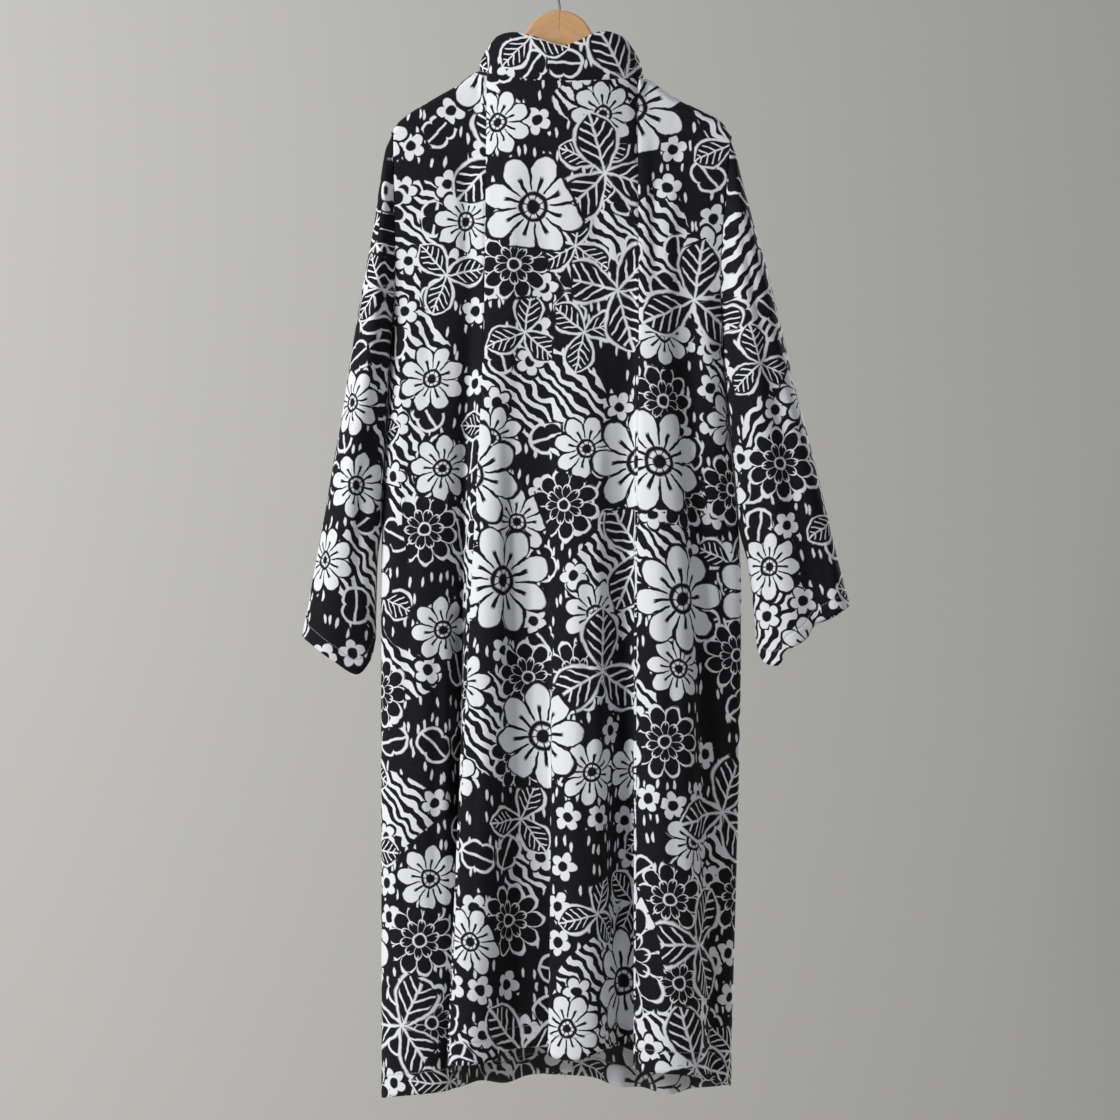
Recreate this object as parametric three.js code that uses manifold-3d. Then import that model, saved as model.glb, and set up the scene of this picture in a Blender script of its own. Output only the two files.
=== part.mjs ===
// A long coat with a stand collar, hung on a wooden hanger and seen from its back.
// Millimetres, +Z up. The coat's front faces -Y and the wearer's left is +X.
// The origin is the inner top of the hanger's hook, where it bears on a rail.

import * as THREE from 'three';
import { mergeVertices } from 'three/addons/utils/BufferGeometryUtils.js';
import Module from 'manifold-3d';

// Cloth and seams
const CLOTH = 1.5;
const SEAM_GAP = 0.3;
const COLLAR_SEAM_GAP = 0.8;
const SIDE_SEAM_INSET = 0.35;
const ARMHOLE_GAP = 0.75;

// A sleeve clears the body by its wall's thickness too where it turns under the arm:
// the cosines, from the underarm line, at which that begins and is whole
const UNDERARM_BEGINS = 0.35;
const UNDERARM_WHOLE = 0.75;

// The sine up to which the armhole closes in to the line of the shoulder and underarm
const ARMHOLE_TIP = 0.12;

// The share of a sleeve's length where its cuff begins to hang below its ring
const CUFF_BEGINS = 0.6;

// The least sine that a sleeve's fold is measured over, so that it stays shallow at the sides
const FOLD_LEAST_SINE = 0.4;

// Heights of the levels that the fold tables name
const YOKE_Z = -380;
const UNDERARM_Z = -456;
const MID_Z = -745;

// Neck and shoulder
const NECK_HALF_WIDTH = 95;
const NECK_HALF_DEPTH = 34;
const BACK_NECK_Z = -148;
const FRONT_NECK_Z = -192;
const NECKLINE_POWER = 2;
const RIDGE_HALF_GAP = 0.7;
const SHOULDER_ROLL_DROP = 10;
const SHOULDER_ROLL_DEPTH = 9.5;

// Front overlap and buttons
const LAP_CLEARANCE = 2.4;
const BUTTON_RADIUS = 10;
const BUTTON_HEIGHT = 2.6;
const BUTTON_HEIGHTS_Z = [-240, -370, -500, -630, -760];
const BUTTON_X = 2;

// Hanger
const WOOD_THICKNESS = 14;
const WOOD_BEVEL = 3;
const WOOD_TOP_Z = -62;
const ARCH_RADIUS = 41;
const WIRE_RADIUS = 1.5;
const HOOK_INNER_RADIUS = 20;
const SHANK_DEPTH_IN_WOOD = 24;
const SHANK_CLEARANCE = 0.3;
const HANGER_TILT = THREE.MathUtils.degToRad(1.5);

// How a wall's rows crowd toward its top edge, where the shoulder rolls over
const ROW_CROWDING = 0.12;

const BODY_ROWS = 20;

// The share of a panel's height over which its upper edge is drawn onto the neckline
const TOP_EDGE_BLEND = 0.03;

// The shoulder line, from the wearer's left tip over the neck points to the right tip
const SHOULDER_LINE = rows(['x', 'z'], [
  [195, -199],
  [187, -189],
  [145, -162],
  [122, -149],
  [95, -132],
  [-95, -140],
  [-133, -163],
  [-168, -180],
  [-186, -190],
  [-197, -206],
]);

const FOLD_COLUMNS = [
  'name', 'topX', 'yokeX', 'yokeY', 'midX', 'midY', 'hemX', 'hemY', 'hemZ', 'armX', 'armY',
];

// The back from its left side seam to its right one, a row for each fold line.
// The two seams of the back are the rows named seamLeft and seamRight.
const BACK_FOLDS = rows(FOLD_COLUMNS, [
  ['sideLeft', 195, 191, 18, 209, 0, 208, 0, -1320, 197, 0],
  ['turnLeft', 190, 188, 19, 205, 16, 204, 18, -1319, 194, 13],
  ['outerFace', 175, 174, 23, 189, 32, 187, 34, -1314, 181, 26],
  ['outerCrest', 150, 151, 28, 161, 40, 156, 40, -1310],
  ['outerSlope', 119, 122, 30, 132, 34, 130, 30, -1308],
  ['valleyLeft', 106, 105, 27, 116, 14, 116, 6, -1304],
  ['neckLeft', 95, 96, 29, 110, 30, 124, 34, -1288],
  ['seamLeft', 86, 88, 33, 104, 46, 129, 60, -1274],
  ['innerCrest', 73, 75, 36, 86, 56, 105, 74, -1271],
  ['innerSlope', 57, 59, 37, 66, 50, 78, 62, -1268],
  ['recessLeft', 45, 47, 36, 56, 38, 61, 38, -1261],
  ['recess', 30, 30, 36, 35, 34, 36, 33, -1258],
  ['recessRight', 15, 15, 36, 15, 35, 6, 30, -1259],
  ['centreEdge', 3, 4, 37, 6, 44, 14, 57, -1263],
  ['centreCrest', -17, -17, 38, -17, 55, -15, 72, -1266],
  ['centreSlope', -43, -42, 37, -42, 52, -45, 62, -1257],
  ['valleyFall', -59, -58, 36, -56, 38, -59, 26, -1258],
  ['valleyDeep', -75, -74, 34, -72, 28, -71, 8, -1262],
  ['valleyRise', -83, -84, 34, -84, 35, -92, 26, -1269],
  ['seamRight', -88, -89, 37, -86, 50, -84, 56, -1278],
  ['neckRight', -95, -108, 37, -112, 62, -121, 76, -1280],
  ['nearSlope', -124, -123, 31, -142, 52, -158, 62, -1284],
  ['valleyRight', -143, -136, 26, -157, 28, -173, 26, -1290],
  ['edgeFace', -171, -162, 25, -183, 25, -186, 21, -1301, -168, 26],
  ['turnRight', -191, -181, 19, -205, 13, -194, 12, -1306, -184, 13],
  ['sideRight', -197, -184, 18, -209, 0, -197, 0, -1308, -188, 0],
]);

// The wearer's left front, from the side seam to its edge under the overlap
const FRONT_LEFT_FOLDS = rows(FOLD_COLUMNS, [
  ['sideLeft', 195, 191, -18, 209, 0, 208, 0, -1320, 197, 0],
  ['turnLeft', 190, 188, -19, 205, -16, 204, -18, -1320, 194, -13],
  ['outerFace', 172, 173, -24, 188, -31, 188, -37, -1320, 181, -26],
  ['outerCrest', 142, 147, -30, 160, -42, 154, -52, -1319],
  ['outerValley', 116, 118, -30, 128, -32, 124, -28, -1317],
  ['neckLeft', 95, 94, -34, 98, -49, 96, -62, -1315],
  ['innerValley', 72, 66, -35, 66, -42, 66, -38, -1313],
  ['innerCrest', 44, 42, -37, 42, -53, 42, -60, -1309],
  ['lapStart', 20, 20, -38, 20, -54, 20, -58, -1306],
  ['edge', -14, -14, -38, -14, -54, -14, -58, -1304],
]);

// The wearer's right front, from the side seam to its edge over the overlap
const FRONT_RIGHT_FOLDS = rows(FOLD_COLUMNS, [
  ['sideRight', -197, -184, -18, -209, 0, -197, 0, -1308, -188, 0],
  ['turnRight', -191, -181, -19, -205, -15, -194, -16, -1311, -184, -13],
  ['outerFace', -171, -166, -24, -188, -31, -180, -36, -1317, -172, -26],
  ['outerCrest', -144, -142, -30, -156, -44, -152, -54, -1323],
  ['outerValley', -118, -118, -31, -126, -36, -126, -30, -1325],
  ['neckRight', -95, -94, -34, -96, -50, -96, -58, -1322],
  ['innerValley', -72, -68, -36, -66, -43, -68, -40, -1318],
  ['innerCrest', -44, -42, -38, -42, -54, -42, -61, -1312],
  ['lapStart', -20, -20, -40.4, -20, -56.4, -20, -60.4, -1309],
  ['edge', 18, 18, -40.4, 18, -56.4, 18, -60.4, -1307],
]);

const SLEEVE_COLUMNS = ['outerX', 'outerZ', 'innerX', 'innerZ', 'halfDepth', 'centreY'];

// Rings down each sleeve: where its outer and inner lines are, and its depth
const LEFT_SLEEVE_RINGS = rows(SLEEVE_COLUMNS, [
  [195, -199, 197, -456, 18, 0],
  [203, -223, 200.5, -460, 26, 0],
  [210, -265, 201.5, -466, 32, 0],
  [218, -319, 203, -475, 38, 0],
  [228, -372, 204.5, -488, 43, -1],
  [243, -461, 206.5, -530, 46, -2],
  [261, -571, 209.5, -594, 46, -3],
  [280, -676, 213, -686, 42, -3],
  [299, -785, 215.5, -790, 33, 0],
]);
const RIGHT_SLEEVE_RINGS = rows(SLEEVE_COLUMNS, [
  [-197, -206, -188, -456, 18, 0],
  [-203, -231, -191.5, -460, 25, 0],
  [-209, -256, -193, -466, 30, 0],
  [-222, -305, -195, -476, 35, 0],
  [-238, -361, -197.5, -492, 38, 0],
  [-255, -430, -201, -530, 39, -1],
  [-270, -494, -206, -590, 38, -2],
  [-298, -602, -212.5, -672, 35, -2],
  [-321, -700, -221, -730, 32, -1],
  [-334, -751, -227, -791, 30, 0],
]);

// How far each cuff's edge hangs below its ring, by the angle from the outer line over the back
const LEFT_CUFF_DROPS = rows(['angle', 'drop'], [
  [0, 0],
  [40, 22],
  [80, 33],
  [125, 42],
  [155, 24],
  [180, 0],
  [240, 12],
  [300, 14],
  [360, 0],
]);
const RIGHT_CUFF_DROPS = rows(['angle', 'drop'], [
  [0, 0],
  [55, 8],
  [70, 9],
  [84, 24],
  [104, 40],
  [130, 32],
  [158, 14],
  [180, 0],
  [240, 8],
  [300, 10],
  [360, 0],
]);

// Lengthwise folds of the sleeves: their angle, width and depth at the cuff, and where they start
const FOLD_OF_SLEEVE = ['angle', 'halfWidth', 'depth', 'start'];
const LEFT_SLEEVE_FOLDS = rows(FOLD_OF_SLEEVE, [
  [112, 34, 7, 0.3],
  [250, 40, 8, 0.35],
]);
const RIGHT_SLEEVE_FOLDS = rows(FOLD_OF_SLEEVE, [
  [72, 22, 11, 0.35],
  [255, 40, 8, 0.35],
]);

// The stand collar's upper edge, by the angle from the wearer's left round the back
const COLLAR_TOP_HALF_WIDTH = 77;
const COLLAR_TOP_HALF_DEPTH = 30;
const COLLAR_END_ANGLE = 2;
const COLLAR_TOP = rows(['angle', 'z'], [
  [-90, -140],
  [-45, -120],
  [0, -98],
  [22, -93],
  [42, -91],
  [62, -95],
  [78, -103],
  [92, -108],
  [104, -103],
  [118, -94],
  [130, -90],
  [148, -93],
  [180, -100],
  [225, -120],
  [270, -140],
]);

// Table helpers
function rows(columns, values) {
  return values.map((row) => Object.fromEntries(row.map((value, i) => [columns[i], value])));
}

// A smooth curve through the points (at, value) that never swings past them
function smooth(points, at) {
  const last = points.length - 1;
  let i = points.findIndex((point) => at < point.at) - 1;
  if (i < 0) i = at < points[0].at ? 0 : last - 1;
  const span = (k) => points[k + 1].at - points[k].at;
  const slope = (k) => (points[k + 1].value - points[k].value) / span(k);
  const tangent = (k) => {
    if (k === 0) return slope(0);
    if (k === last) return slope(last - 1);
    const product = slope(k - 1) * slope(k);
    return product <= 0 ? 0 : (2 * product) / (slope(k - 1) + slope(k));
  };
  const t = THREE.MathUtils.clamp((at - points[i].at) / span(i), 0, 1);
  const rise = points[i + 1].value - points[i].value;
  const start = tangent(i) * span(i);
  const end = tangent(i + 1) * span(i);
  return points[i].value + start * t + (3 * rise - 2 * start - end) * t * t
    + (start + end - 2 * rise) * t * t * t;
}

function column(table, atName, valueName) {
  return table.map((row) => ({ at: row[atName], value: row[valueName] }));
}

const shoulderPoints = column([...SHOULDER_LINE].reverse(), 'x', 'z');

// The upper edge of a body panel at x: the shoulder line outside the neck, the neckline inside it
function topEdge(x, face) {
  const inward = Math.abs(x) / NECK_HALF_WIDTH;
  if (inward >= 1) return { y: face * RIDGE_HALF_GAP, z: smooth(shoulderPoints, x) };
  const lowest = face > 0 ? BACK_NECK_Z : FRONT_NECK_Z;
  const neckPoint = smooth(shoulderPoints, Math.sign(x) * NECK_HALF_WIDTH || NECK_HALF_WIDTH);
  const y = face * Math.max(RIDGE_HALF_GAP, NECK_HALF_DEPTH * Math.sqrt(1 - inward * inward));
  return { y, z: lowest + (neckPoint - lowest) * inward ** NECKLINE_POWER };
}

// One fold line of the body as curves of x and y over height
function foldLine(row, face, lap) {
  const top = topEdge(row.topX, face);
  const topY = top.y + face * lap;
  const rollY = face * Math.max(SHOULDER_ROLL_DEPTH, Math.abs(topY) + 1.5);
  const x = [{ at: row.hemZ, value: row.hemX }, { at: MID_Z, value: row.midX }];
  const y = [{ at: row.hemZ, value: row.hemY }, { at: MID_Z, value: row.midY }];
  if (row.armX !== undefined) {
    x.push({ at: UNDERARM_Z, value: row.armX });
    y.push({ at: UNDERARM_Z, value: row.armY });
  }
  x.push({ at: YOKE_Z, value: row.yokeX }, { at: top.z, value: row.topX });
  y.push({ at: YOKE_Z, value: row.yokeY });
  y.push({ at: top.z - SHOULDER_ROLL_DROP, value: rollY }, { at: top.z, value: topY });
  return { topZ: top.z, hemZ: row.hemZ, x, y };
}

// Where a fold line is, at a fraction of the way from the shoulder to the hem
function onFoldLine(line, fraction) {
  const z = THREE.MathUtils.lerp(line.topZ, line.hemZ, fraction);
  return new THREE.Vector3(smooth(line.x, z), smooth(line.y, z), z);
}

// The point between four neighbours of a row of points, on a smooth curve through them
function between(points, position) {
  const last = points.length - 1;
  const i = Math.min(Math.floor(position), last - 1);
  const t = position - i;
  const tangent = (k) => points[Math.min(k + 1, last)].clone()
    .sub(points[Math.max(k - 1, 0)]).multiplyScalar(k === 0 || k === last ? 1 : 0.5);
  const start = tangent(i);
  const end = tangent(i + 1);
  const rise = points[i + 1].clone().sub(points[i]);
  const square = rise.clone().multiplyScalar(3).addScaledVector(start, -2).sub(end);
  const cube = start.clone().add(end).addScaledVector(rise, -2);
  return points[i].clone().addScaledVector(start, t)
    .addScaledVector(square, t * t).addScaledVector(cube, t * t * t);
}

// A body sheet: its fold lines, and its point at a fold position and a fraction down.
// Its upper edge is drawn onto the neckline and the shoulder line.
function bodySheet(table, face, lapRows = 0) {
  const lap = (i) => (i >= table.length - lapRows ? LAP_CLEARANCE : 0);
  const lines = table.map((row, i) => foldLine(row, face, lap(i)));
  const tops = lines.map((line) => onFoldLine(line, 0));
  const at = (position, fraction) => {
    const point = between(lines.map((line) => onFoldLine(line, fraction)), position);
    const top = between(tops, position);
    const edge = topEdge(top.x, face);
    const i = Math.min(Math.floor(position), table.length - 2);
    edge.y += face * THREE.MathUtils.lerp(lap(i), lap(i + 1), position - i);
    const near = 1 - THREE.MathUtils.smoothstep(fraction, 0, TOP_EDGE_BLEND);
    point.y += (edge.y - top.y) * near;
    point.z += (edge.z - top.z) * near;
    return point;
  };
  return { lines, at };
}

const back = bodySheet(BACK_FOLDS, 1);
const frontLeft = bodySheet(FRONT_LEFT_FOLDS, -1);
const frontRight = bodySheet(FRONT_RIGHT_FOLDS, -1, 2);

// A closed wall on a sheet pointAt(u, v), with v = 0 at its top edge.
// inset draws in the edges [left, right, top, bottom] for the seams.
function wallGeometry(pointAt, columns, lines, inset = [0, 0, 0, 0]) {
  const geometry = new THREE.BoxGeometry(1, 1, 1, columns, lines, 1);
  const position = geometry.attributes.position;
  const step = 1e-3;
  for (let i = 0; i < position.count; i += 1) {
    const u = position.getX(i) + 0.5;
    const v = 0.5 - position.getY(i);
    const across = pointAt(Math.min(u + step, 1), v).sub(pointAt(Math.max(u - step, 0), v)).normalize();
    const down = pointAt(u, Math.min(v + step, 1)).sub(pointAt(u, Math.max(v - step, 0))).normalize();
    const normal = down.clone().cross(across).normalize();
    const point = pointAt(u, v).addScaledVector(normal, Math.sign(position.getZ(i)) * CLOTH / 2);
    if (u === 0) point.addScaledVector(across, inset[0]);
    if (u === 1) point.addScaledVector(across, -inset[1]);
    if (v === 0) point.addScaledVector(down, inset[2]);
    if (v === 1) point.addScaledVector(down, -inset[3]);
    position.setXYZ(i, point.x, point.y, point.z);
  }
  geometry.computeVertexNormals();
  return geometry;
}

function rowFraction(v) {
  return ROW_CROWDING * v + (1 - ROW_CROWDING) * v * v;
}

// A panel of a body sheet between two of its fold lines, drawn in at both seams
function bodyPanel(sheet, from, to, columns, startInset, endInset) {
  return wallGeometry(
    (u, v) => sheet.at(THREE.MathUtils.lerp(from, to, u), rowFraction(v)),
    columns, BODY_ROWS, [startInset, endInset, 0, 0]);
}

const sideLines = {
  left: { back: back.lines[0], front: frontLeft.lines[0] },
  right: { back: back.lines[back.lines.length - 1], front: frontRight.lines[0] },
};

// A sleeve as a sheet round its length: u goes round from the underarm line, v down to the cuff
function sleeveSheet(rings, drops, folds, lines, outward) {
  const last = rings.length - 1;
  const ringValue = (name, at) => smooth(rings.map((ring, i) => ({ at: i, value: ring[name] })), at);
  const dropPoints = column(drops, 'angle', 'drop');
  return (u, v) => {
    const degrees = (180 + 360 * u) % 360;
    const angle = THREE.MathUtils.degToRad(degrees);
    const cos = Math.cos(angle);
    const sin = Math.sin(angle);
    const at = last * v;
    const ring = {};
    SLEEVE_COLUMNS.forEach((name) => { ring[name] = ringValue(name, at); });
    let halfDepth = ring.halfDepth;
    folds.forEach((fold) => {
      const across = (degrees - fold.angle) / fold.halfWidth;
      const along = THREE.MathUtils.smoothstep(v, fold.start, 1);
      halfDepth -= fold.depth * along * Math.exp(-across * across) / Math.max(FOLD_LEAST_SINE, Math.abs(sin));
    });
    const point = new THREE.Vector3(
      (ring.outerX + ring.innerX) / 2 + (ring.outerX - ring.innerX) / 2 * cos,
      ring.centreY + halfDepth * sin,
      (ring.outerZ + ring.innerZ) / 2 + (ring.outerZ - ring.innerZ) / 2 * cos,
    );
    point.z -= smooth(dropPoints, degrees) * THREE.MathUtils.smoothstep(v, CUFF_BEGINS, 1);
    if (at < 1) {
      const line = sin > 0 ? lines.back : lines.front;
      const underarm = THREE.MathUtils.smoothstep(-cos, UNDERARM_BEGINS, UNDERARM_WHOLE);
      const seam = new THREE.Vector3(
        smooth(line.x, point.z) + outward * (ARMHOLE_GAP + underarm * CLOTH),
        smooth(line.y, point.z) * Math.min(1, Math.abs(sin) / ARMHOLE_TIP),
        point.z,
      );
      point.lerp(seam, 1 - THREE.MathUtils.smoothstep(at, 0, 1));
    }
    return point;
  };
}

// The stand collar as a sheet: u goes from the centre front round the back, v down to the neckline
function collarPoint(u, v) {
  const degrees = THREE.MathUtils.lerp(-90 + COLLAR_END_ANGLE, 270 - COLLAR_END_ANGLE, u);
  const angle = THREE.MathUtils.degToRad(degrees);
  const baseX = NECK_HALF_WIDTH * Math.cos(angle);
  const face = Math.sin(angle) < 0 ? -1 : 1;
  const base = topEdge(baseX * 0.9999, face);
  const up = 1 - v;
  const lean = up * up;
  return new THREE.Vector3(
    THREE.MathUtils.lerp(baseX, COLLAR_TOP_HALF_WIDTH * Math.cos(angle), lean),
    THREE.MathUtils.lerp(NECK_HALF_DEPTH, COLLAR_TOP_HALF_DEPTH, lean) * Math.sin(angle),
    THREE.MathUtils.lerp(base.z + COLLAR_SEAM_GAP, smooth(column(COLLAR_TOP, 'angle', 'z'), degrees), up),
  );
}

// Solids for cutting and joining
const wasm = await Module();
wasm.setup();

function toSolid(geometry) {
  const bare = geometry.clone();
  bare.deleteAttribute('normal');
  bare.deleteAttribute('uv');
  const merged = mergeVertices(bare, 1e-4);
  return new wasm.Manifold(new wasm.Mesh({
    numProp: 3,
    vertProperties: new Float32Array(merged.attributes.position.array),
    triVerts: new Uint32Array(merged.index.array),
  }));
}

function toGeometry(solid) {
  const mesh = solid.getMesh();
  const geometry = new THREE.BufferGeometry();
  geometry.setAttribute('position', new THREE.BufferAttribute(new Float32Array(mesh.vertProperties), 3));
  geometry.setIndex(new THREE.BufferAttribute(new Uint32Array(mesh.triVerts), 1));
  geometry.computeVertexNormals();
  return geometry;
}

// The hanger's wood, whole: an arch over two sloping arms, with rounded long edges
function hangerSolid() {
  const arch = new THREE.Vector2(0, WOOD_TOP_Z - ARCH_RADIUS);
  const armTop = [
    [44, -98], [60, -123], [80, -144], [95, -149.8], [122, -162.8], [145, -175.3], [168, -190.3],
    [177, -197.8],
  ];
  const tip = [[183, -208], [182, -219], [174, -224]];
  const armBottom = [[70, -180], [36, -158], [0, -154]];
  const half = [];
  for (let degrees = 0; degrees <= 60; degrees += 10) {
    const angle = THREE.MathUtils.degToRad(degrees);
    half.push([arch.x + ARCH_RADIUS * Math.sin(angle), arch.y + ARCH_RADIUS * Math.cos(angle)]);
  }
  half.push(...armTop, ...tip, ...armBottom);
  const mirrored = half.slice(1, -1).reverse().map(([x, z]) => [-x, z]);
  const outline = [...half, ...mirrored].map(([x, z]) => new THREE.Vector2(x, z));
  const shape = new THREE.Shape(outline);
  const geometry = new THREE.ExtrudeGeometry(shape, {
    depth: WOOD_THICKNESS - 2 * WOOD_BEVEL,
    bevelThickness: WOOD_BEVEL,
    bevelSize: WOOD_BEVEL,
    bevelOffset: -WOOD_BEVEL,
    bevelSegments: 3,
  });
  geometry.translate(0, 0, -WOOD_THICKNESS / 2 + WOOD_BEVEL);
  geometry.rotateX(Math.PI / 2);
  return toSolid(geometry);
}

function boxSolid(width, depth, height, x, y, z) {
  const geometry = new THREE.BoxGeometry(width, depth, height);
  geometry.translate(x, y, z);
  return toSolid(geometry);
}

// One glued half of the wood, with half of the hole for the hook's shank
function hangerHalf(wood, side) {
  const reach = 400;
  const keep = boxSolid(reach, reach, reach, side * (reach / 2 + SEAM_GAP / 2), 0, WOOD_TOP_Z - reach / 4);
  const hole = new THREE.CylinderGeometry(
    WIRE_RADIUS + SHANK_CLEARANCE, WIRE_RADIUS + SHANK_CLEARANCE, 2 * SHANK_DEPTH_IN_WOOD, 12);
  hole.rotateX(Math.PI / 2);
  hole.translate(0, 0, WOOD_TOP_Z - SHANK_CLEARANCE);
  return toGeometry(wood.intersect(keep).subtract(toSolid(hole)));
}

// The hook: a straight shank, a bend to one side and a round hook over the rail
function hookGeometry() {
  const radius = HOOK_INNER_RADIUS + WIRE_RADIUS;
  const centreZ = -HOOK_INNER_RADIUS;
  const path = [
    new THREE.Vector3(0, 0, WOOD_TOP_Z - SHANK_DEPTH_IN_WOOD),
    new THREE.Vector3(0, 0, WOOD_TOP_Z - SHANK_DEPTH_IN_WOOD / 2),
    new THREE.Vector3(0, 0, WOOD_TOP_Z + 4),
    new THREE.Vector3(2.5, 0, centreZ - radius - 6),
  ];
  for (let degrees = -62; degrees <= 205; degrees += 15) {
    const angle = THREE.MathUtils.degToRad(degrees);
    path.push(new THREE.Vector3(radius * Math.cos(angle), 0, centreZ + radius * Math.sin(angle)));
  }
  const section = new THREE.Shape();
  section.absarc(0, 0, WIRE_RADIUS, 0, 2 * Math.PI);
  return new THREE.ExtrudeGeometry(section, {
    steps: 36,
    curveSegments: 4,
    bevelEnabled: false,
    extrudePath: new THREE.CatmullRomCurve3(path),
  });
}

const materials = {
  cloth: (tint) => new THREE.MeshStandardMaterial({ color: tint, roughness: 0.9, metalness: 0 }),
  wood: () => new THREE.MeshStandardMaterial({ color: 0xc89b69, roughness: 0.5, metalness: 0 }),
  wire: () => new THREE.MeshStandardMaterial({ color: 0x3b3b3e, roughness: 0.35, metalness: 0.9 }),
  button: () => new THREE.MeshStandardMaterial({ color: 0x232327, roughness: 0.4, metalness: 0 }),
};

const coat = new THREE.Group();
coat.name = 'long_coat_on_hanger';

function add(parent, name, geometry, material) {
  const mesh = new THREE.Mesh(geometry, material);
  mesh.name = name;
  parent.add(mesh);
  return mesh;
}

// Body panels
const body = new THREE.Group();
coat.add(body);
const seamLeft = BACK_FOLDS.findIndex((row) => row.name === 'seamLeft');
const seamRight = BACK_FOLDS.findIndex((row) => row.name === 'seamRight');
const backEnd = BACK_FOLDS.length - 1;
const half = SEAM_GAP / 2;
add(body, 'back_left', bodyPanel(back, 0, seamLeft, 14, SIDE_SEAM_INSET, half), materials.cloth(0xd8d9dc));
add(body, 'back_centre', bodyPanel(back, seamLeft, seamRight, 24, half, half), materials.cloth(0xdcdde0));
add(body, 'back_right', bodyPanel(back, seamRight, backEnd, 12, half, SIDE_SEAM_INSET), materials.cloth(0xd4d5d9));
add(body, 'front_left', bodyPanel(frontLeft, 0, FRONT_LEFT_FOLDS.length - 1, 18, SIDE_SEAM_INSET, 0),
  materials.cloth(0xd0d1d5));
add(body, 'front_right', bodyPanel(frontRight, 0, FRONT_RIGHT_FOLDS.length - 1, 18, SIDE_SEAM_INSET, 0),
  materials.cloth(0xd2d3d7));

// Sleeves
const sleeveSeam = [half, half, 0, 0];
const leftSleeve = sleeveSheet(LEFT_SLEEVE_RINGS, LEFT_CUFF_DROPS, LEFT_SLEEVE_FOLDS, sideLines.left, 1);
const rightSleeve = sleeveSheet(RIGHT_SLEEVE_RINGS, RIGHT_CUFF_DROPS, RIGHT_SLEEVE_FOLDS, sideLines.right, -1);
add(body, 'sleeve_left', wallGeometry(leftSleeve, 24, 17, sleeveSeam), materials.cloth(0xdadbde));
add(body, 'sleeve_right', wallGeometry(rightSleeve, 24, 18, sleeveSeam), materials.cloth(0xd6d7db));

// Collar
add(body, 'collar', wallGeometry(collarPoint, 60, 3), materials.cloth(0xdedfe2));

// Buttons on the wearer's right front
function seatOnFront(height) {
  const lap = FRONT_RIGHT_FOLDS.length - 2;
  const [start, edge] = FRONT_RIGHT_FOLDS.slice(lap);
  const position = lap + THREE.MathUtils.inverseLerp(start.midX, edge.midX, BUTTON_X);
  const line = frontRight.lines[lap];
  const fraction = (height - line.topZ) / (line.hemZ - line.topZ);
  const point = frontRight.at(position, fraction);
  const down = frontRight.at(position, fraction + 0.005).sub(point).normalize();
  const across = frontRight.at(position + 0.02, fraction).sub(point).normalize();
  const normal = across.cross(down).normalize();
  if (normal.y > 0) normal.negate();
  return { point, normal };
}
BUTTON_HEIGHTS_Z.forEach((height, i) => {
  const seat = seatOnFront(height);
  const button = add(body, `button_${i + 1}`,
    new THREE.CylinderGeometry(BUTTON_RADIUS, BUTTON_RADIUS, BUTTON_HEIGHT, 16), materials.button());
  button.quaternion.setFromUnitVectors(new THREE.Vector3(0, 1, 0), seat.normal);
  button.position.copy(seat.point)
    .addScaledVector(seat.normal, CLOTH / 2 + SEAM_GAP + BUTTON_HEIGHT / 2);
});

// Hanger
const hanger = new THREE.Group();
hanger.rotation.y = -HANGER_TILT;
coat.add(hanger);
const wood = hangerSolid();
add(hanger, 'hanger_wood_left', hangerHalf(wood, 1), materials.wood());
add(hanger, 'hanger_wood_right', hangerHalf(wood, -1), materials.wood());
add(hanger, 'hanger_hook', hookGeometry(), materials.wire());

export default coat;
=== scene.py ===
"""A long printed coat with a stand collar, hung on a wooden hanger and seen from its back.

The sizes are in metres in the frame's own axes: +Z up, the coat's front to -Y, the wearer's left to +X.
The origin is the inner top of the hanger's hook. Tables are in millimetres and are named so.
"""

import bmesh
import bpy
import numpy as np
from bpy.props import FloatProperty, FloatVectorProperty, IntProperty, PointerProperty
from bpy.types import Operator, Panel, PropertyGroup
from mathutils import Matrix, Vector


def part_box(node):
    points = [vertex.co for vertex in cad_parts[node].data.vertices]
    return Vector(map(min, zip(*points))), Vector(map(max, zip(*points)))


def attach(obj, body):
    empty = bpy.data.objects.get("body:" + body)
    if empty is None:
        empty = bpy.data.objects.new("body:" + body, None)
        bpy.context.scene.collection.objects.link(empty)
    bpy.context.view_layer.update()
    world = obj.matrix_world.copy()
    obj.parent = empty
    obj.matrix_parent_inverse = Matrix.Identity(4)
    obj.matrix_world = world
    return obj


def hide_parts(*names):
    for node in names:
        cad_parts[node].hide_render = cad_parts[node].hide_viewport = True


bl_info = {
    "name": "Long coat on a hanger",
    "version": (1, 0, 0),
    "blender": (4, 5, 0),
    "location": "View3D > Sidebar > Coat",
    "description": "Dresses the frame of a long coat on a hanger with its cloth, buttons, wood and wire",
    "category": "Object",
}

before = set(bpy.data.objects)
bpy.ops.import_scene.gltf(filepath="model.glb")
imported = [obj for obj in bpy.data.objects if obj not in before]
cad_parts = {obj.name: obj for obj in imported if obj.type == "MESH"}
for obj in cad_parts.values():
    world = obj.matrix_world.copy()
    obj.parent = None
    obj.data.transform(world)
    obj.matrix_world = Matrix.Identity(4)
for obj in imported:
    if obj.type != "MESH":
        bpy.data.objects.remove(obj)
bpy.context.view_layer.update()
MM = 0.001

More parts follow.
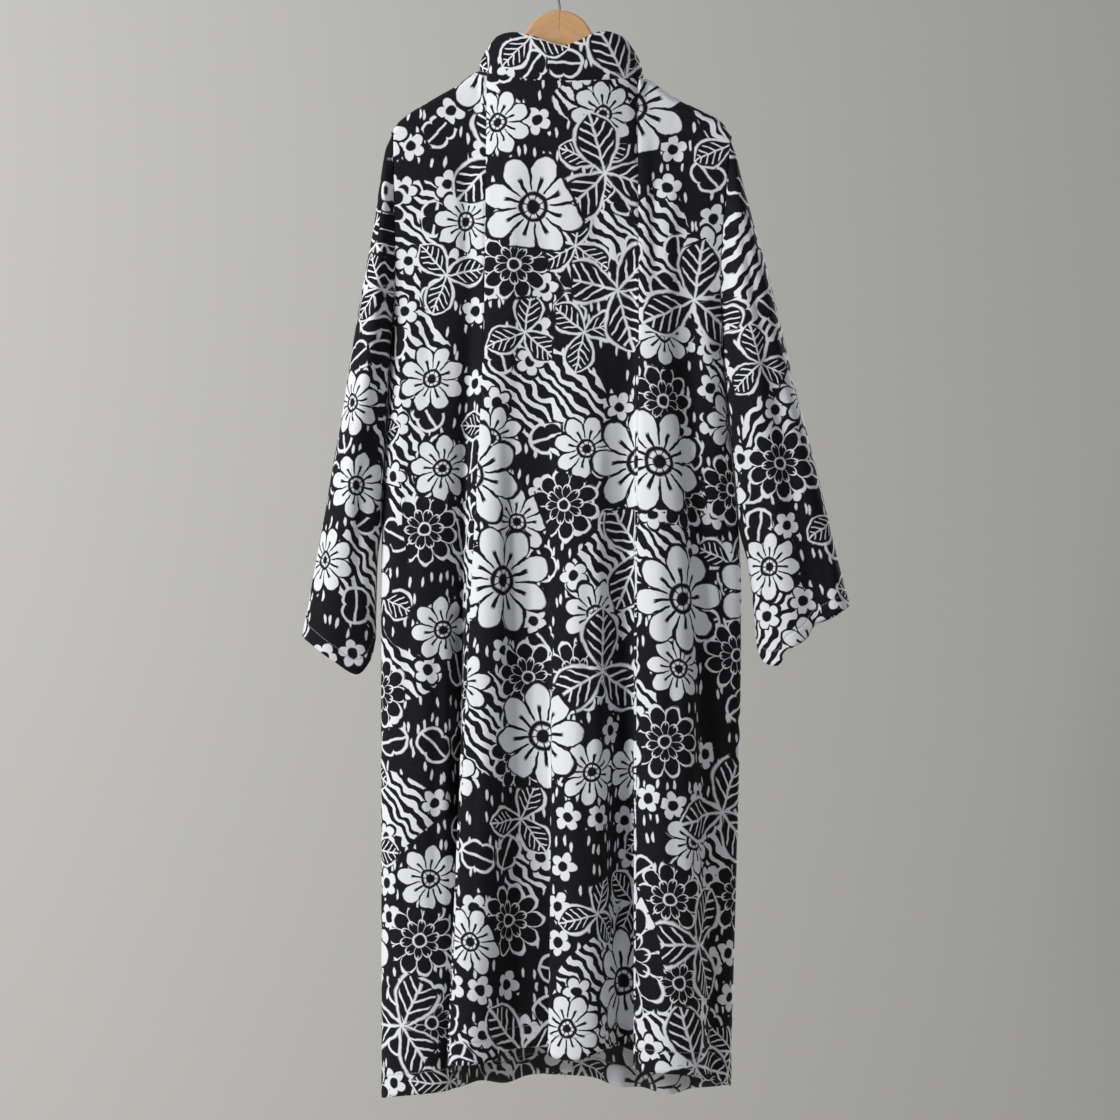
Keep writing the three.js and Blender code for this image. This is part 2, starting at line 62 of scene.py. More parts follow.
# The garment's levels and edges, in millimetres
YOKE_Z = -380
UNDERARM_Z = -456
MID_Z = -745
NECK_HALF_WIDTH = 95
NECK_HALF_DEPTH = 34
BACK_NECK_Z = -148
FRONT_NECK_Z = -192
NECKLINE_POWER = 2
RIDGE_HALF_GAP = 0.35
SHOULDER_ROLL_DROP = 10
SHOULDER_ROLL_DEPTH = 9.5
TOP_EDGE_BLEND = 0.03
LAP_CLEARANCE = 2.4
ARMHOLE_GAP = 0.3
UNDERARM_EXTRA_GAP = 0.5
COLLAR_SEAM_GAP = -2.2

# A sleeve's inner line rests on the body's side seam from the underarm down to a level
SLEEVE_REST_GAP = 0.9
SLEEVE_REST_END_Z = -700
SLEEVE_REST_FADE = 45

# Where round a sleeve, as a cosine or sine of its angle, and along it its parts begin
UNDERARM_BEGINS, UNDERARM_WHOLE = 0.35, 0.75
REST_BEGINS, REST_WHOLE = 0.55, 0.98
ARMHOLE_TIP = 0.12
FOLD_LEAST_SINE = 0.4
CUFF_BEGINS = 0.6

# The grids of the cloth: rows crowd together toward the shoulder, and three more lie beside a sewn edge
ROW_CROWDING = 0.12
ROW_POWER = 1.25
SEWN_EDGE_PLACES = (0.2, 0.4, 0.7)
SLEEVE_GIRTH = 330
SLEEVE_LENGTH = 560
COLLAR_COLUMNS = 121
COLLAR_ROWS = 14
REACH_COLUMNS = 200
REACH_FRACTIONS = (0.55, 1.0)

# A button's seat on the overlap, in fold lines, and how far off the places are that give its slope
SEAT = 0.55
SEAT_ASIDE = 0.05
SEAT_BELOW = 0.005


def table(columns, rows):
    """Rows of values as dictionaries by column name; a short row leaves its last columns out."""
    return [dict(zip(columns, row)) for row in rows]


SHOULDER_LINE = table(("x", "z"), [
    (195, -199), (187, -189), (145, -162), (122, -149), (95, -132),
    (-95, -140), (-133, -163), (-168, -180), (-186, -190), (-197, -206),
])

FOLD_COLUMNS = ("name", "topX", "yokeX", "yokeY", "midX", "midY", "hemX", "hemY", "hemZ", "armX", "armY")

# The back from its left side seam to its right one, a row for each fold line
BACK_FOLDS = table(FOLD_COLUMNS, [
    ("sideLeft", 195, 191, 18, 209, 0, 208, 0, -1320, 197, 0),
    ("turnLeft", 190, 188, 19, 205, 16, 204, 18, -1319, 194, 13),
    ("outerFace", 175, 174, 23, 189, 32, 187, 34, -1314, 181, 26),
    ("outerCrest", 150, 151, 28, 161, 40, 156, 40, -1310),
    ("outerSlope", 119, 122, 30, 132, 34, 130, 30, -1308),
    ("valleyLeft", 106, 105, 27, 116, 14, 116, 6, -1304),
    ("neckLeft", 95, 96, 29, 110, 30, 124, 34, -1288),
    ("seamLeft", 86, 88, 33, 104, 46, 129, 60, -1274),
    ("innerCrest", 73, 75, 36, 86, 56, 105, 74, -1271),
    ("innerSlope", 57, 59, 37, 66, 50, 78, 62, -1268),
    ("recessLeft", 45, 47, 36, 56, 38, 61, 38, -1261),
    ("recess", 30, 30, 36, 35, 34, 36, 33, -1258),
    ("recessRight", 15, 15, 36, 15, 35, 6, 30, -1259),
    ("centreEdge", 3, 4, 37, 6, 44, 14, 57, -1263),
    ("centreCrest", -17, -17, 38, -17, 55, -15, 72, -1266),
    ("centreSlope", -43, -42, 37, -42, 52, -45, 62, -1257),
    ("valleyFall", -59, -58, 36, -56, 38, -59, 26, -1258),
    ("valleyDeep", -75, -74, 34, -72, 28, -71, 8, -1262),
    ("valleyRise", -83, -84, 34, -84, 35, -92, 26, -1269),
    ("seamRight", -88, -89, 37, -86, 50, -84, 56, -1278),
    ("neckRight", -95, -108, 37, -112, 62, -121, 76, -1280),
    ("nearSlope", -124, -123, 31, -142, 52, -158, 62, -1284),
    ("valleyRight", -143, -136, 26, -157, 28, -173, 26, -1290),
    ("edgeFace", -171, -162, 25, -183, 25, -186, 21, -1301, -168, 26),
    ("turnRight", -191, -181, 19, -205, 13, -194, 12, -1306, -184, 13),
    ("sideRight", -197, -184, 18, -209, 0, -197, 0, -1308, -188, 0),
])

# The wearer's left front, from the side seam to its edge under the overlap
FRONT_LEFT_FOLDS = table(FOLD_COLUMNS, [
    ("sideLeft", 195, 191, -18, 209, 0, 208, 0, -1320, 197, 0),
    ("turnLeft", 190, 188, -19, 205, -16, 204, -18, -1320, 194, -13),
    ("outerFace", 172, 173, -24, 188, -31, 188, -37, -1320, 181, -26),
    ("outerCrest", 142, 147, -30, 160, -42, 154, -52, -1319),
    ("outerValley", 116, 118, -30, 128, -32, 124, -28, -1317),
    ("neckLeft", 95, 94, -34, 98, -49, 96, -62, -1315),
    ("innerValley", 72, 66, -35, 66, -42, 66, -38, -1313),
    ("innerCrest", 44, 42, -37, 42, -53, 42, -60, -1309),
    ("lapStart", 20, 20, -38, 20, -54, 20, -58, -1306),
    ("edge", -14, -14, -38, -14, -54, -14, -58, -1304),
])

# The wearer's right front, from the side seam to its edge over the overlap
FRONT_RIGHT_FOLDS = table(FOLD_COLUMNS, [
    ("sideRight", -197, -184, -18, -209, 0, -197, 0, -1308, -188, 0),
    ("turnRight", -191, -181, -19, -205, -15, -194, -16, -1311, -184, -13),
    ("outerFace", -171, -166, -24, -188, -31, -180, -36, -1317, -172, -26),
    ("outerCrest", -144, -142, -30, -156, -44, -152, -54, -1323),
    ("outerValley", -118, -118, -31, -126, -36, -126, -30, -1325),
    ("neckRight", -95, -94, -34, -96, -50, -96, -58, -1322),
    ("innerValley", -72, -68, -36, -66, -43, -68, -40, -1318),
    ("innerCrest", -44, -42, -38, -42, -54, -42, -61, -1312),
    ("lapStart", -20, -20, -40.4, -20, -56.4, -20, -60.4, -1309),
    ("edge", 18, 18, -40.4, 18, -56.4, 18, -60.4, -1307),
])

SLEEVE_COLUMNS = ("outerX", "outerZ", "innerX", "innerZ", "halfDepth", "centreY")
LEFT_SLEEVE_RINGS = table(SLEEVE_COLUMNS, [
    (195, -199, 197, -456, 18, 0),
    (203, -223, 200.5, -460, 26, 0),
    (210, -265, 201.5, -466, 32, 0),
    (218, -319, 203, -475, 38, 0),
    (228, -372, 204.5, -488, 43, -1),
    (243, -461, 206.5, -530, 46, -2),
    (261, -571, 209.5, -594, 46, -3),
    (280, -676, 213, -686, 42, -3),
    (299, -785, 215.5, -790, 33, 0),
])
RIGHT_SLEEVE_RINGS = table(SLEEVE_COLUMNS, [
    (-197, -206, -188, -456, 18, 0),
    (-203, -231, -191.5, -460, 25, 0),
    (-209, -256, -193, -466, 30, 0),
    (-222, -305, -195, -476, 35, 0),
    (-238, -361, -197.5, -492, 38, 0),
    (-255, -430, -201, -530, 39, -1),
    (-270, -494, -206, -590, 38, -2),
    (-298, -602, -212.5, -672, 35, -2),
    (-321, -700, -221, -730, 32, -1),
    (-334, -751, -227, -791, 30, 0),
])
LEFT_CUFF_DROPS = table(("angle", "drop"), [
    (0, 0), (40, 9), (80, 26), (121, 42), (150, 26), (180, 0), (240, 12), (300, 14), (360, 0),
])
RIGHT_CUFF_DROPS = table(("angle", "drop"), [
    (0, 0), (55, 5), (78, 8), (88, 20), (112, 25), (124, 38), (145, 31), (165, 15), (180, 0), (240, 8),
    (300, 10), (360, 0),
])
SLEEVE_FOLD_COLUMNS = ("angle", "halfWidth", "depth", "start")
LEFT_SLEEVE_FOLDS = table(SLEEVE_FOLD_COLUMNS, [(112, 34, 7, 0.3), (250, 40, 8, 0.35)])
RIGHT_SLEEVE_FOLDS = table(SLEEVE_FOLD_COLUMNS, [(72, 22, 11, 0.35), (255, 40, 8, 0.35)])

COLLAR_TOP_HALF_WIDTH = 77
COLLAR_TOP_HALF_DEPTH = 30
COLLAR_END_ANGLE = 2
JUST_WITHIN = 0.9999
COLLAR_TOP = table(("angle", "z"), [
    (-90, -140), (-45, -120), (0, -98), (22, -93), (42, -91), (62, -95), (78, -103), (92, -108),
    (104, -103), (118, -94), (130, -90), (148, -93), (180, -100), (225, -120), (270, -140),
])

CREASE_STRENGTH = 1.5
CREASE_FADES_IN = 0.35
CREASE_FADES_OUT = 0.6

# Soft creases of the cloth: a line from (x1, z1) to (x2, z2), its half width and its depth inward
CREASE_COLUMNS = ("x1", "z1", "x2", "z2", "halfWidth", "depth")
BACK_CREASES = table(CREASE_COLUMNS, [
    (-106, -200, -110, -430, 7, 2.6),
    (-128, -215, -124, -460, 10, -2),
    (112, -190, 108, -420, 8, 2),
    (24, -175, 20, -470, 15, 1.6),
    (-40, -180, -46, -520, 13, 1.8),
    (58, -200, 60, -500, 12, -1.4),
    (62, -420, 58, -900, 7, 2.2),
    (150, -300, 162, -780, 10, 2),
    (172, -420, 178, -1000, 9, 2.4),
    (140, -650, 146, -1250, 8, 2),
    (38, -640, 30, -1180, 8, 1.8),
    (-30, -620, -28, -1100, 7, 1.6),
    (-150, -330, -152, -620, 9, 2.2),
    (-122, -620, -132, -1180, 8, 1.8),
    (-190, -520, -186, -980, 8, 2),
    (94, -800, 104, -1230, 7, 1.8),
    (150, -186, 92, -300, 11, 1.8),
    (-150, -196, -104, -300, 11, 1.8),
])
FRONT_CREASES = table(CREASE_COLUMNS, [
    (110, -220, 100, -560, 10, 2),
    (-112, -230, -104, -600, 10, 2),
    (60, -300, 52, -800, 9, 1.8),
    (-62, -280, -52, -760, 9, 1.8),
    (150, -480, 156, -1050, 9, 2.2),
    (-148, -520, -158, -1100, 9, 2.2),
    (30, -700, 36, -1200, 8, 1.6),
    (-34, -760, -30, -1180, 8, 1.6),
    (150, -200, 70, -330, 12, 1.8),
    (-150, -206, -72, -340, 12, 1.8),
])
SLEEVE_CREASES_LEFT = table(CREASE_COLUMNS, [
    (212, -330, 244, -560, 7, 2.2),
    (240, -470, 262, -700, 7, 2),
    (225, -560, 236, -760, 6, 2),
    (262, -600, 286, -780, 6, 1.8),
    (203, -280, 226, -420, 6, 1.6),
])
SLEEVE_CREASES_RIGHT = table(CREASE_COLUMNS, [
    (-214, -330, -250, -560, 8, 2.2),
    (-240, -450, -276, -700, 8, 2),
    (-225, -600, -246, -790, 6, 2),
    (-290, -610, -312, -760, 7, 1.8),
    (-204, -290, -226, -420, 6, 1.6),
])


def cubic(start, rise, slope_in, slope_out, t):
    """A curve from start through its rise, by its slopes at both ends, at a share t of the way."""
    bend = 3 * rise - 2 * slope_in - slope_out
    return start + slope_in * t + bend * t**2 + (slope_in + slope_out - 2 * rise) * t**3


def smooth(ats, values, where):
    """A smooth curve through the points that never swings past them, at an array of places."""
    order = np.argsort(ats)
    ats, values = np.asarray(ats, float)[order], np.asarray(values, float)[order]
    span = np.diff(ats)
    slope = np.diff(values) / span
    tangent = np.empty_like(values)
    tangent[0], tangent[-1] = slope[0], slope[-1]
    product = slope[:-1] * slope[1:]
    total = slope[:-1] + slope[1:]
    safe = np.where(np.abs(total) < 1e-12, 1, total)
    tangent[1:-1] = np.where(product > 0, 2 * product / safe, 0)
    where = np.clip(where, ats[0], ats[-1])
    i = np.clip(np.searchsorted(ats, where, side="right") - 1, 0, len(span) - 1)
    t = (where - ats[i]) / span[i]
    return cubic(values[i], values[i + 1] - values[i], tangent[i] * span[i], tangent[i + 1] * span[i], t)


def curve(rows, across, value, where):
    """A smooth curve through one column of a table over another."""
    return smooth([row[across] for row in rows], [row[value] for row in rows], where)


def step(low, high, value):
    """0 below low, 1 above high, and an even S between them."""
    t = np.clip((value - low) / (high - low), 0, 1)
    return t * t * (3 - 2 * t)


def shoulder_z(x):
    """Height of the shoulder line at x."""
    return curve(SHOULDER_LINE, "x", "z", x)


def top_edge(x, face):
    """Depth and height of a panel's upper edge at x: shoulder line outside the neck, neckline inside."""
    x = np.asarray(x, float)
    inward = np.abs(x) / NECK_HALF_WIDTH
    lowest = BACK_NECK_Z if face > 0 else FRONT_NECK_Z
    neck = shoulder_z(np.where(x < 0, -NECK_HALF_WIDTH, NECK_HALF_WIDTH))
    round_y = NECK_HALF_DEPTH * np.sqrt(np.clip(1 - inward**2, 0, 1))
    y = face * np.where(inward >= 1, RIDGE_HALF_GAP, np.maximum(RIDGE_HALF_GAP, round_y))
    z = np.where(inward >= 1, shoulder_z(x), lowest + (neck - lowest) * inward**NECKLINE_POWER)
    return y, z


class FoldLine:
    """One fold line of the body: its place as curves of x and y over height."""

    def __init__(self, row, face, lap):
        top_y, top_z = (float(value) for value in top_edge(row["topX"], face))
        top_y += face * lap
        roll_y = face * max(SHOULDER_ROLL_DEPTH, abs(top_y) + 1.5)
        self.top_z, self.hem_z = top_z, row["hemZ"]
        self.x = [(self.hem_z, row["hemX"]), (MID_Z, row["midX"]), (YOKE_Z, row["yokeX"])]
        self.x.append((top_z, row["topX"]))
        self.y = [(self.hem_z, row["hemY"]), (MID_Z, row["midY"]), (YOKE_Z, row["yokeY"])]
        self.y += [(top_z - SHOULDER_ROLL_DROP, roll_y), (top_z, top_y)]
        if "armX" in row:
            self.x.append((UNDERARM_Z, row["armX"]))
            self.y.append((UNDERARM_Z, row["armY"]))

    def x_at(self, z):
        return smooth(*zip(*self.x), z)

    def y_at(self, z):
        return smooth(*zip(*self.y), z)

    def at(self, fractions):
        z = self.top_z + (self.hem_z - self.top_z) * fractions
        return np.stack([self.x_at(z), self.y_at(z), z], axis=-1)


def between(points, positions):
    """Points of a smooth curve through a row of points: (knots, n, 3) at m positions gives (m, n, 3)."""
    last = len(points) - 1
    tangent = np.empty_like(points)
    tangent[1:-1] = (points[2:] - points[:-2]) / 2
    tangent[0], tangent[-1] = points[1] - points[0], points[-1] - points[-2]
    i = np.minimum(np.floor(positions).astype(int), last - 1)
    t = (positions - i)[:, None, None]
    return cubic(points[i], points[i + 1] - points[i], tangent[i], tangent[i + 1], t)


class BodySheet:
    """The back or a front as a sheet over its fold lines."""

    def __init__(self, rows, face, lap_rows=0):
        self.face = face
        self.lap = np.array([LAP_CLEARANCE if i >= len(rows) - lap_rows else 0 for i in range(len(rows))])
        self.lines = [FoldLine(row, face, lap) for row, lap in zip(rows, self.lap)]
        self.names = [row["name"] for row in rows]

    def at(self, positions, fractions):
        knots = np.stack([line.at(fractions) for line in self.lines])
        points = between(knots, positions)
        top = between(np.stack([line.at(np.zeros(1)) for line in self.lines]), positions)[:, 0]
        edge_y, edge_z = top_edge(top[:, 0], self.face)
        edge_y = edge_y + self.face * np.interp(positions, np.arange(len(self.lap)), self.lap)
        near = 1 - step(0, TOP_EDGE_BLEND, fractions)
        points[..., 1] += (edge_y - top[:, 1])[:, None] * near
        points[..., 2] += (edge_z - top[:, 2])[:, None] * near
        return points


back_sheet = BodySheet(BACK_FOLDS, 1)
front_left_sheet = BodySheet(FRONT_LEFT_FOLDS, -1)
front_right_sheet = BodySheet(FRONT_RIGHT_FOLDS, -1, 2)


def sleeve_points(rings, drops, folds, back_line, front_line, outward, us, vs):
    """A sleeve round its length: u from the underarm line round the front first, v down to the cuff."""
    last = len(rings) - 1
    at = last * vs
    ring = {name: smooth(range(last + 1), [row[name] for row in rings], at)[None, :]
            for name in SLEEVE_COLUMNS}
    degrees = ((180 + 360 * us) % 360)[:, None]
    angle = np.radians(degrees)
    cos, sin = np.cos(angle), np.sin(angle)
    depth = ring["halfDepth"] + 0 * cos
    for fold in folds:
        across = (degrees - fold["angle"]) / fold["halfWidth"]
        along = step(fold["start"], 1, vs)[None, :]
        depth = depth - fold["depth"] * along * np.exp(-across**2) / np.maximum(FOLD_LEAST_SINE, np.abs(sin))
    x = (ring["outerX"] + ring["innerX"]) / 2 + (ring["outerX"] - ring["innerX"]) / 2 * cos
    y = ring["centreY"] + depth * sin
    z = (ring["outerZ"] + ring["innerZ"]) / 2 + (ring["outerZ"] - ring["innerZ"]) / 2 * cos
    z = z - curve(drops, "angle", "drop", degrees) * step(CUFF_BEGINS, 1, vs)[None, :]
    is_back = sin > 0
    gap = ARMHOLE_GAP + step(UNDERARM_BEGINS, UNDERARM_WHOLE, -cos) * UNDERARM_EXTRA_GAP
    seam_x = np.where(is_back, back_line.x_at(z), front_line.x_at(z)) + outward * gap
    seam_y = np.where(is_back, back_line.y_at(z), front_line.y_at(z))
    seam_y = seam_y * np.minimum(1, np.abs(sin) / ARMHOLE_TIP)
    head = 1 - step(0, 1, at)[None, :]
    side_x = (back_line.x_at(z) + front_line.x_at(z)) / 2 + outward * SLEEVE_REST_GAP
    apart = np.maximum(0, outward * (x - side_x)) * step(REST_BEGINS, REST_WHOLE, -cos)
    x = x - outward * apart * (1 - step(0, 1, (SLEEVE_REST_END_Z - z) / SLEEVE_REST_FADE + 1))
    return np.stack([x + (seam_x - x) * head, y + (seam_y - y) * head, z], axis=-1)


def collar_points(us, vs):
    """The stand collar: u from the centre front round the back, v down to the neckline."""
    degrees = -90 + COLLAR_END_ANGLE + us * (360 - 2 * COLLAR_END_ANGLE)
    angle = np.radians(degrees)
    base_x = NECK_HALF_WIDTH * np.cos(angle)
    within = base_x * JUST_WITHIN
    base_z = np.where(np.sin(angle) < 0, top_edge(within, -1)[1], top_edge(within, 1)[1])
    rim_z = curve(COLLAR_TOP, "angle", "z", degrees)
    up = (1 - vs)[None, :]
    lean = up**2
    x = base_x[:, None] + (COLLAR_TOP_HALF_WIDTH * np.cos(angle) - base_x)[:, None] * lean
    y = (NECK_HALF_DEPTH + (COLLAR_TOP_HALF_DEPTH - NECK_HALF_DEPTH) * lean) * np.sin(angle)[:, None]
    z = base_z[:, None] + COLLAR_SEAM_GAP + (rim_z - base_z - COLLAR_SEAM_GAP)[:, None] * up
    return np.stack([x, y, z], axis=-1)


def sheet_normals(points):
    """Unit normals of a grid of points, on the side that a grid's own faces show."""
    across = np.gradient(points, axis=0)
    down = np.gradient(points, axis=1)
    normal = np.cross(down, across)
    return normal / np.maximum(np.linalg.norm(normal, axis=-1, keepdims=True), 1e-9)


def crease(points, creases, outward):
    """Soft troughs and ridges laid along the lines of a table."""
    normal = sheet_normals(points) * outward
    x, z = points[..., 0], points[..., 2]
    push = np.zeros(x.shape)
    for row in creases:
        along = (z - row["z1"]) / (row["z2"] - row["z1"])
        line_x = row["x1"] + (row["x2"] - row["x1"]) * along
        taper = step(0, CREASE_FADES_IN, along) * (1 - step(CREASE_FADES_OUT, 1, along))
        push -= row["depth"] * CREASE_STRENGTH * taper * np.exp(-((x - line_x) / row["halfWidth"]) ** 2)
    return points + normal * push[..., None]


def running_total(moves, axis):
    """The length of a grid's moves added up along an axis, from nought at its first line."""
    return np.insert(np.cumsum(np.linalg.norm(moves, axis=-1), axis=axis), 0, 0, axis=axis)


def cloth_lengths(points, run):
    """The cloth's own flat coordinates over a grid: across it from its middle, and down it along run."""
    run = np.array(run, float) / np.linalg.norm(run)
    v = points @ run
    move = np.diff(points, axis=0)
    u = running_total(move - (move @ run)[..., None] * run, 0)
    return u - u[len(u) // 2][None, :], v - v.min()


def edge_distance(points):
    """How far each point of a grid is from its lower edge, down the cloth."""
    v = running_total(np.diff(points, axis=1), 1)
    return v[:, -1:] - v


def spaced(count, near_start, near_end):
    """Places from 0 to 1, evenly spaced, with three more beside an edge that is sewn."""
    even = np.linspace(0, 1, count + 1)
    beside = np.array(SEWN_EDGE_PLACES) * even[1]
    return np.sort(np.concatenate([even, *([beside] * near_start), *([1 - beside] * near_end)]))


def roll_in(points, outward, depth, width, sewn):
    """Turns the sewn edges of a sheet a little inward, as a pressed seam does.

    sewn names the edges: start and end lie across the sheet, top and bottom along it."""
    normal = sheet_normals(points) * outward
    from_start, from_top = (running_total(np.diff(points, axis=axis), axis) for axis in (0, 1))
    distance = {"start": from_start, "end": from_start[-1:] - from_start,
                "top": from_top, "bottom": from_top[:, -1:] - from_top}
    push = np.zeros(points.shape[:2])
    for edge in sewn:
        push = np.maximum(push, depth * np.exp(-((distance[edge] / width) ** 2)))
    return points - normal * push[..., None]


def smooth_mesh(bm, name):
    """The bmesh as a mesh of this name with smooth faces."""
    for face in bm.faces:
        face.smooth = True
    mesh = bpy.data.meshes.new(name)
    bm.to_mesh(mesh)
    bm.free()
    return mesh


def in_scene(name, data):
    """A new object with this data, in the scene."""
    item = bpy.data.objects.new(name, data)
    bpy.context.scene.collection.objects.link(item)
    return item


def cloth_piece(node, points, outward, hem, roll, shift, thick=1.0, run=(0, 0, -1)):
    """The cloth that replaces a node, on a grid of points in millimetres: a closed shell made a sheet.

    roll names its sewn edges, shift moves its print, and run is the way down its length."""
    settings = bpy.context.scene.coat_cloth
    flat_u, flat_v = cloth_lengths(points, run)
    points = roll_in(points, outward, settings.seam_roll / MM, settings.seam_width / MM, roll)
    to_edge = edge_distance(points)
    nu, nv = points.shape[0] - 1, points.shape[1] - 1
    bm = bmesh.new()
    bmesh.ops.create_grid(bm, x_segments=nu, y_segments=nv, size=0.5)
    cloth_uv = bm.loops.layers.uv.new("cloth")
    stitch_uv = bm.loops.layers.uv.new("stitch")
    wall_weight = bm.verts.layers.deform.new()
    bm.verts.index_update()
    place = [(int(round((v.co.x + 0.5) * nu)), int(round((0.5 - v.co.y) * nv))) for v in bm.verts]
    for vertex in bm.verts:
        i, j = place[vertex.index]
        is_hem = hem and to_edge[i, j] * MM < hem
        vertex[wall_weight][0] = 1.0 if is_hem else 0.5
        vertex.co = Vector(points[i, j]) * MM
    for face in bm.faces:
        for loop in face.loops:
            i, j = place[loop.vert.index]
            loop[cloth_uv].uv = (flat_u[i, j] * MM + shift[0], -flat_v[i, j] * MM + shift[1])
            loop[stitch_uv].uv = (flat_u[i, j] * MM, to_edge[i, j] * MM - hem if hem else 1.0)
    if outward < 0:
        bmesh.ops.reverse_faces(bm, faces=bm.faces)
    area = sum(face.calc_area() for face in bm.faces)
    mesh = smooth_mesh(bm, node + "_cloth")
    piece = in_scene(mesh.name, mesh)
    piece.vertex_groups.new(name="wall")
    mesh.materials.append(shared(bpy.data.materials, "printed cotton", cotton_material))
    mesh.materials.append(shared(bpy.data.materials, "printed cotton inside", cotton_inside_material))
    wall = piece.modifiers.new("wall", "SOLIDIFY")
    wall.thickness = 2 * settings.thickness * thick
    wall.offset = 0
    wall.vertex_group = "wall"
    wall.use_even_offset = False
    wall.material_offset = 1
    wall.material_offset_rim = 0
    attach(piece, "root")
    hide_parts(node)


def shared(library, name, build):
    """A material or node group of this name, built the first time that it is asked for."""
    found = library.get(name)
    return found if found else build(name)


class Wiring:
    """Adds nodes to a tree and joins them as plain expressions."""

    def __init__(self, tree):
        self.tree = tree
        self.count = 0

    def node(self, kind, inputs=None, **settings):
        node = self.tree.nodes.new(kind)
        node.location = (220 * (self.count % 12), -260 * (self.count // 12))
        self.count += 1
        for key, value in settings.items():
            setattr(node, key, value)
        for key, value in (inputs or {}).items():
            self.join(value, node.inputs[key])
        return node

    def join(self, value, socket):
        if isinstance(value, bpy.types.NodeSocket):
            self.tree.links.new(value, socket)
        else:
            socket.default_value = value

    def math(self, operation, *values, clamp=False):
        node = self.node("ShaderNodeMath", dict(enumerate(values)), operation=operation, use_clamp=clamp)
        return node.outputs[0]

    def times(self, a, b, clamp=False):
        return self.math("MULTIPLY", a, b, clamp=clamp)

    def plus(self, a, b):
        return self.math("ADD", a, b)

    def minus(self, a, b, clamp=False):
        return self.math("SUBTRACT", a, b, clamp=clamp)

    def times_plus(self, a, factor, term, clamp=False):
        return self.math("MULTIPLY_ADD", a, factor, term, clamp=clamp)

    def noise(self, place, scale, detail, dimensions="2D", **more):
        """A noise over a place: its value, then its colour."""
        inputs = {"Vector": place, "Scale": scale, "Detail": detail, **more}
        return self.node("ShaderNodeTexNoise", inputs, noise_dimensions=dimensions).outputs

    def object_place(self):
        return self.node("ShaderNodeTexCoord").outputs["Object"]

    def vector(self, operation, a, b, scale=None):
        node = self.node("ShaderNodeVectorMath", {0: a, 1: b}, operation=operation)
        if scale is not None:
            self.join(scale, node.inputs["Scale"])
        return node.outputs["Value"] if operation in ("LENGTH", "DISTANCE") else node.outputs["Vector"]

    def above(self, value, limit, soft):
        """1 where value is above limit, with a soft edge."""
        difference = self.minus(value, limit)
        node = self.node("ShaderNodeMapRange", {"Value": difference, "From Min": -soft, "From Max": soft},
                         interpolation_type="SMOOTHSTEP")
        return node.outputs["Result"]

    def below(self, value, limit, soft):
        return self.minus(1.0, self.above(value, limit, soft))

    def both(self, *masks):
        result = masks[0]
        for mask in masks[1:]:
            result = self.times(result, mask)
        return result

    def either(self, *masks):
        result = masks[0]
        for mask in masks[1:]:
            result = self.math("MAXIMUM", result, mask)
        return result

    def over(self, under, cover, mask):
        """under, with cover laid over it where mask is 1."""
        return self.node("ShaderNodeMix", {0: mask, 2: under, 3: cover}, data_type="FLOAT").outputs[0]

    def split(self, vector):
        return self.node("ShaderNodeSeparateXYZ", {0: vector}).outputs


def new_group(name, inputs, outputs):
    """A shader node group, its wiring, its input sockets and its output sockets.

    inputs gives each input's own value, None for a place, and outputs names the values that it puts out."""
    tree = bpy.data.node_groups.new(name, "ShaderNodeTree")
    for label, value in inputs.items():
        kind = "NodeSocketVector" if value is None else "NodeSocketFloat"
        socket = tree.interface.new_socket(label, in_out="INPUT", socket_type=kind)
        if value is not None:
            socket.default_value = value
    for label in outputs:
        tree.interface.new_socket(label, in_out="OUTPUT", socket_type="NodeSocketFloat")
    wiring = Wiring(tree)
    source = wiring.node("NodeGroupInput").outputs
    target = wiring.node("NodeGroupOutput").inputs
    return tree, wiring, source, target


def motif_cell(w, place, size, randomness, shift):
    """The nearest motif's centre on a jittered grid: local radius and angle, its draws and edge distance."""
    moved = w.vector("ADD", place, shift)
    scaled = w.vector("SCALE", moved, (0, 0, 0), scale=w.math("DIVIDE", 1.0, size))
    inputs = {"Vector": scaled, "Scale": 1.0, "Randomness": randomness}
    cell = w.node("ShaderNodeTexVoronoi", inputs, voronoi_dimensions="2D", feature="F1")
    edge = w.node("ShaderNodeTexVoronoi", inputs, voronoi_dimensions="2D", feature="DISTANCE_TO_EDGE")
    local = w.split(w.vector("SUBTRACT", scaled, cell.outputs["Position"]))
    draws = w.node("ShaderNodeSeparateColor", {0: cell.outputs["Color"]}).outputs
    turn = w.times(draws[0], 2 * np.pi)
    angle = w.plus(w.math("ARCTAN2", local[1], local[0]), turn)
    return cell.outputs["Distance"], angle, draws, edge.outputs["Distance"]


def petals(w, angle, count, reach, roundness):
    """The radius of a flower's outline at an angle, and how far out on a petal that angle is."""
    wave = w.math("ABSOLUTE", w.math("COSINE", w.times(angle, count / 2)))
    swell = w.math("POWER", wave, roundness)
    return w.times(reach, w.times_plus(swell, 0.42, 0.58)), wave


def near(w, value, place, half_width, soft=0.008):
    """1 where value is within half_width of place."""
    return w.below(w.math("ABSOLUTE", w.minus(value, place)), half_width, soft)


def daisy(w, radius, angle, line):
    """A white flower of eight petals with a dark eye: its cover and its ink."""
    rim, wave = petals(w, angle, 8, 0.43, 0.6)
    cover = w.below(radius, w.times_plus(line, 0.6, rim), 0.006)
    outline = near(w, radius, rim, line)
    parting = w.both(w.below(wave, 0.2, 0.05), w.above(radius, 0.13, 0.01))
    eye = w.below(radius, 0.12, 0.008)
    ring = near(w, radius, 0.07, 0.014)
    ticks = w.both(w.above(wave, 0.955, 0.015), w.below(radius, 0.24, 0.015))
    return cover, w.either(outline, parting, ticks, w.minus(eye, ring, clamp=True))


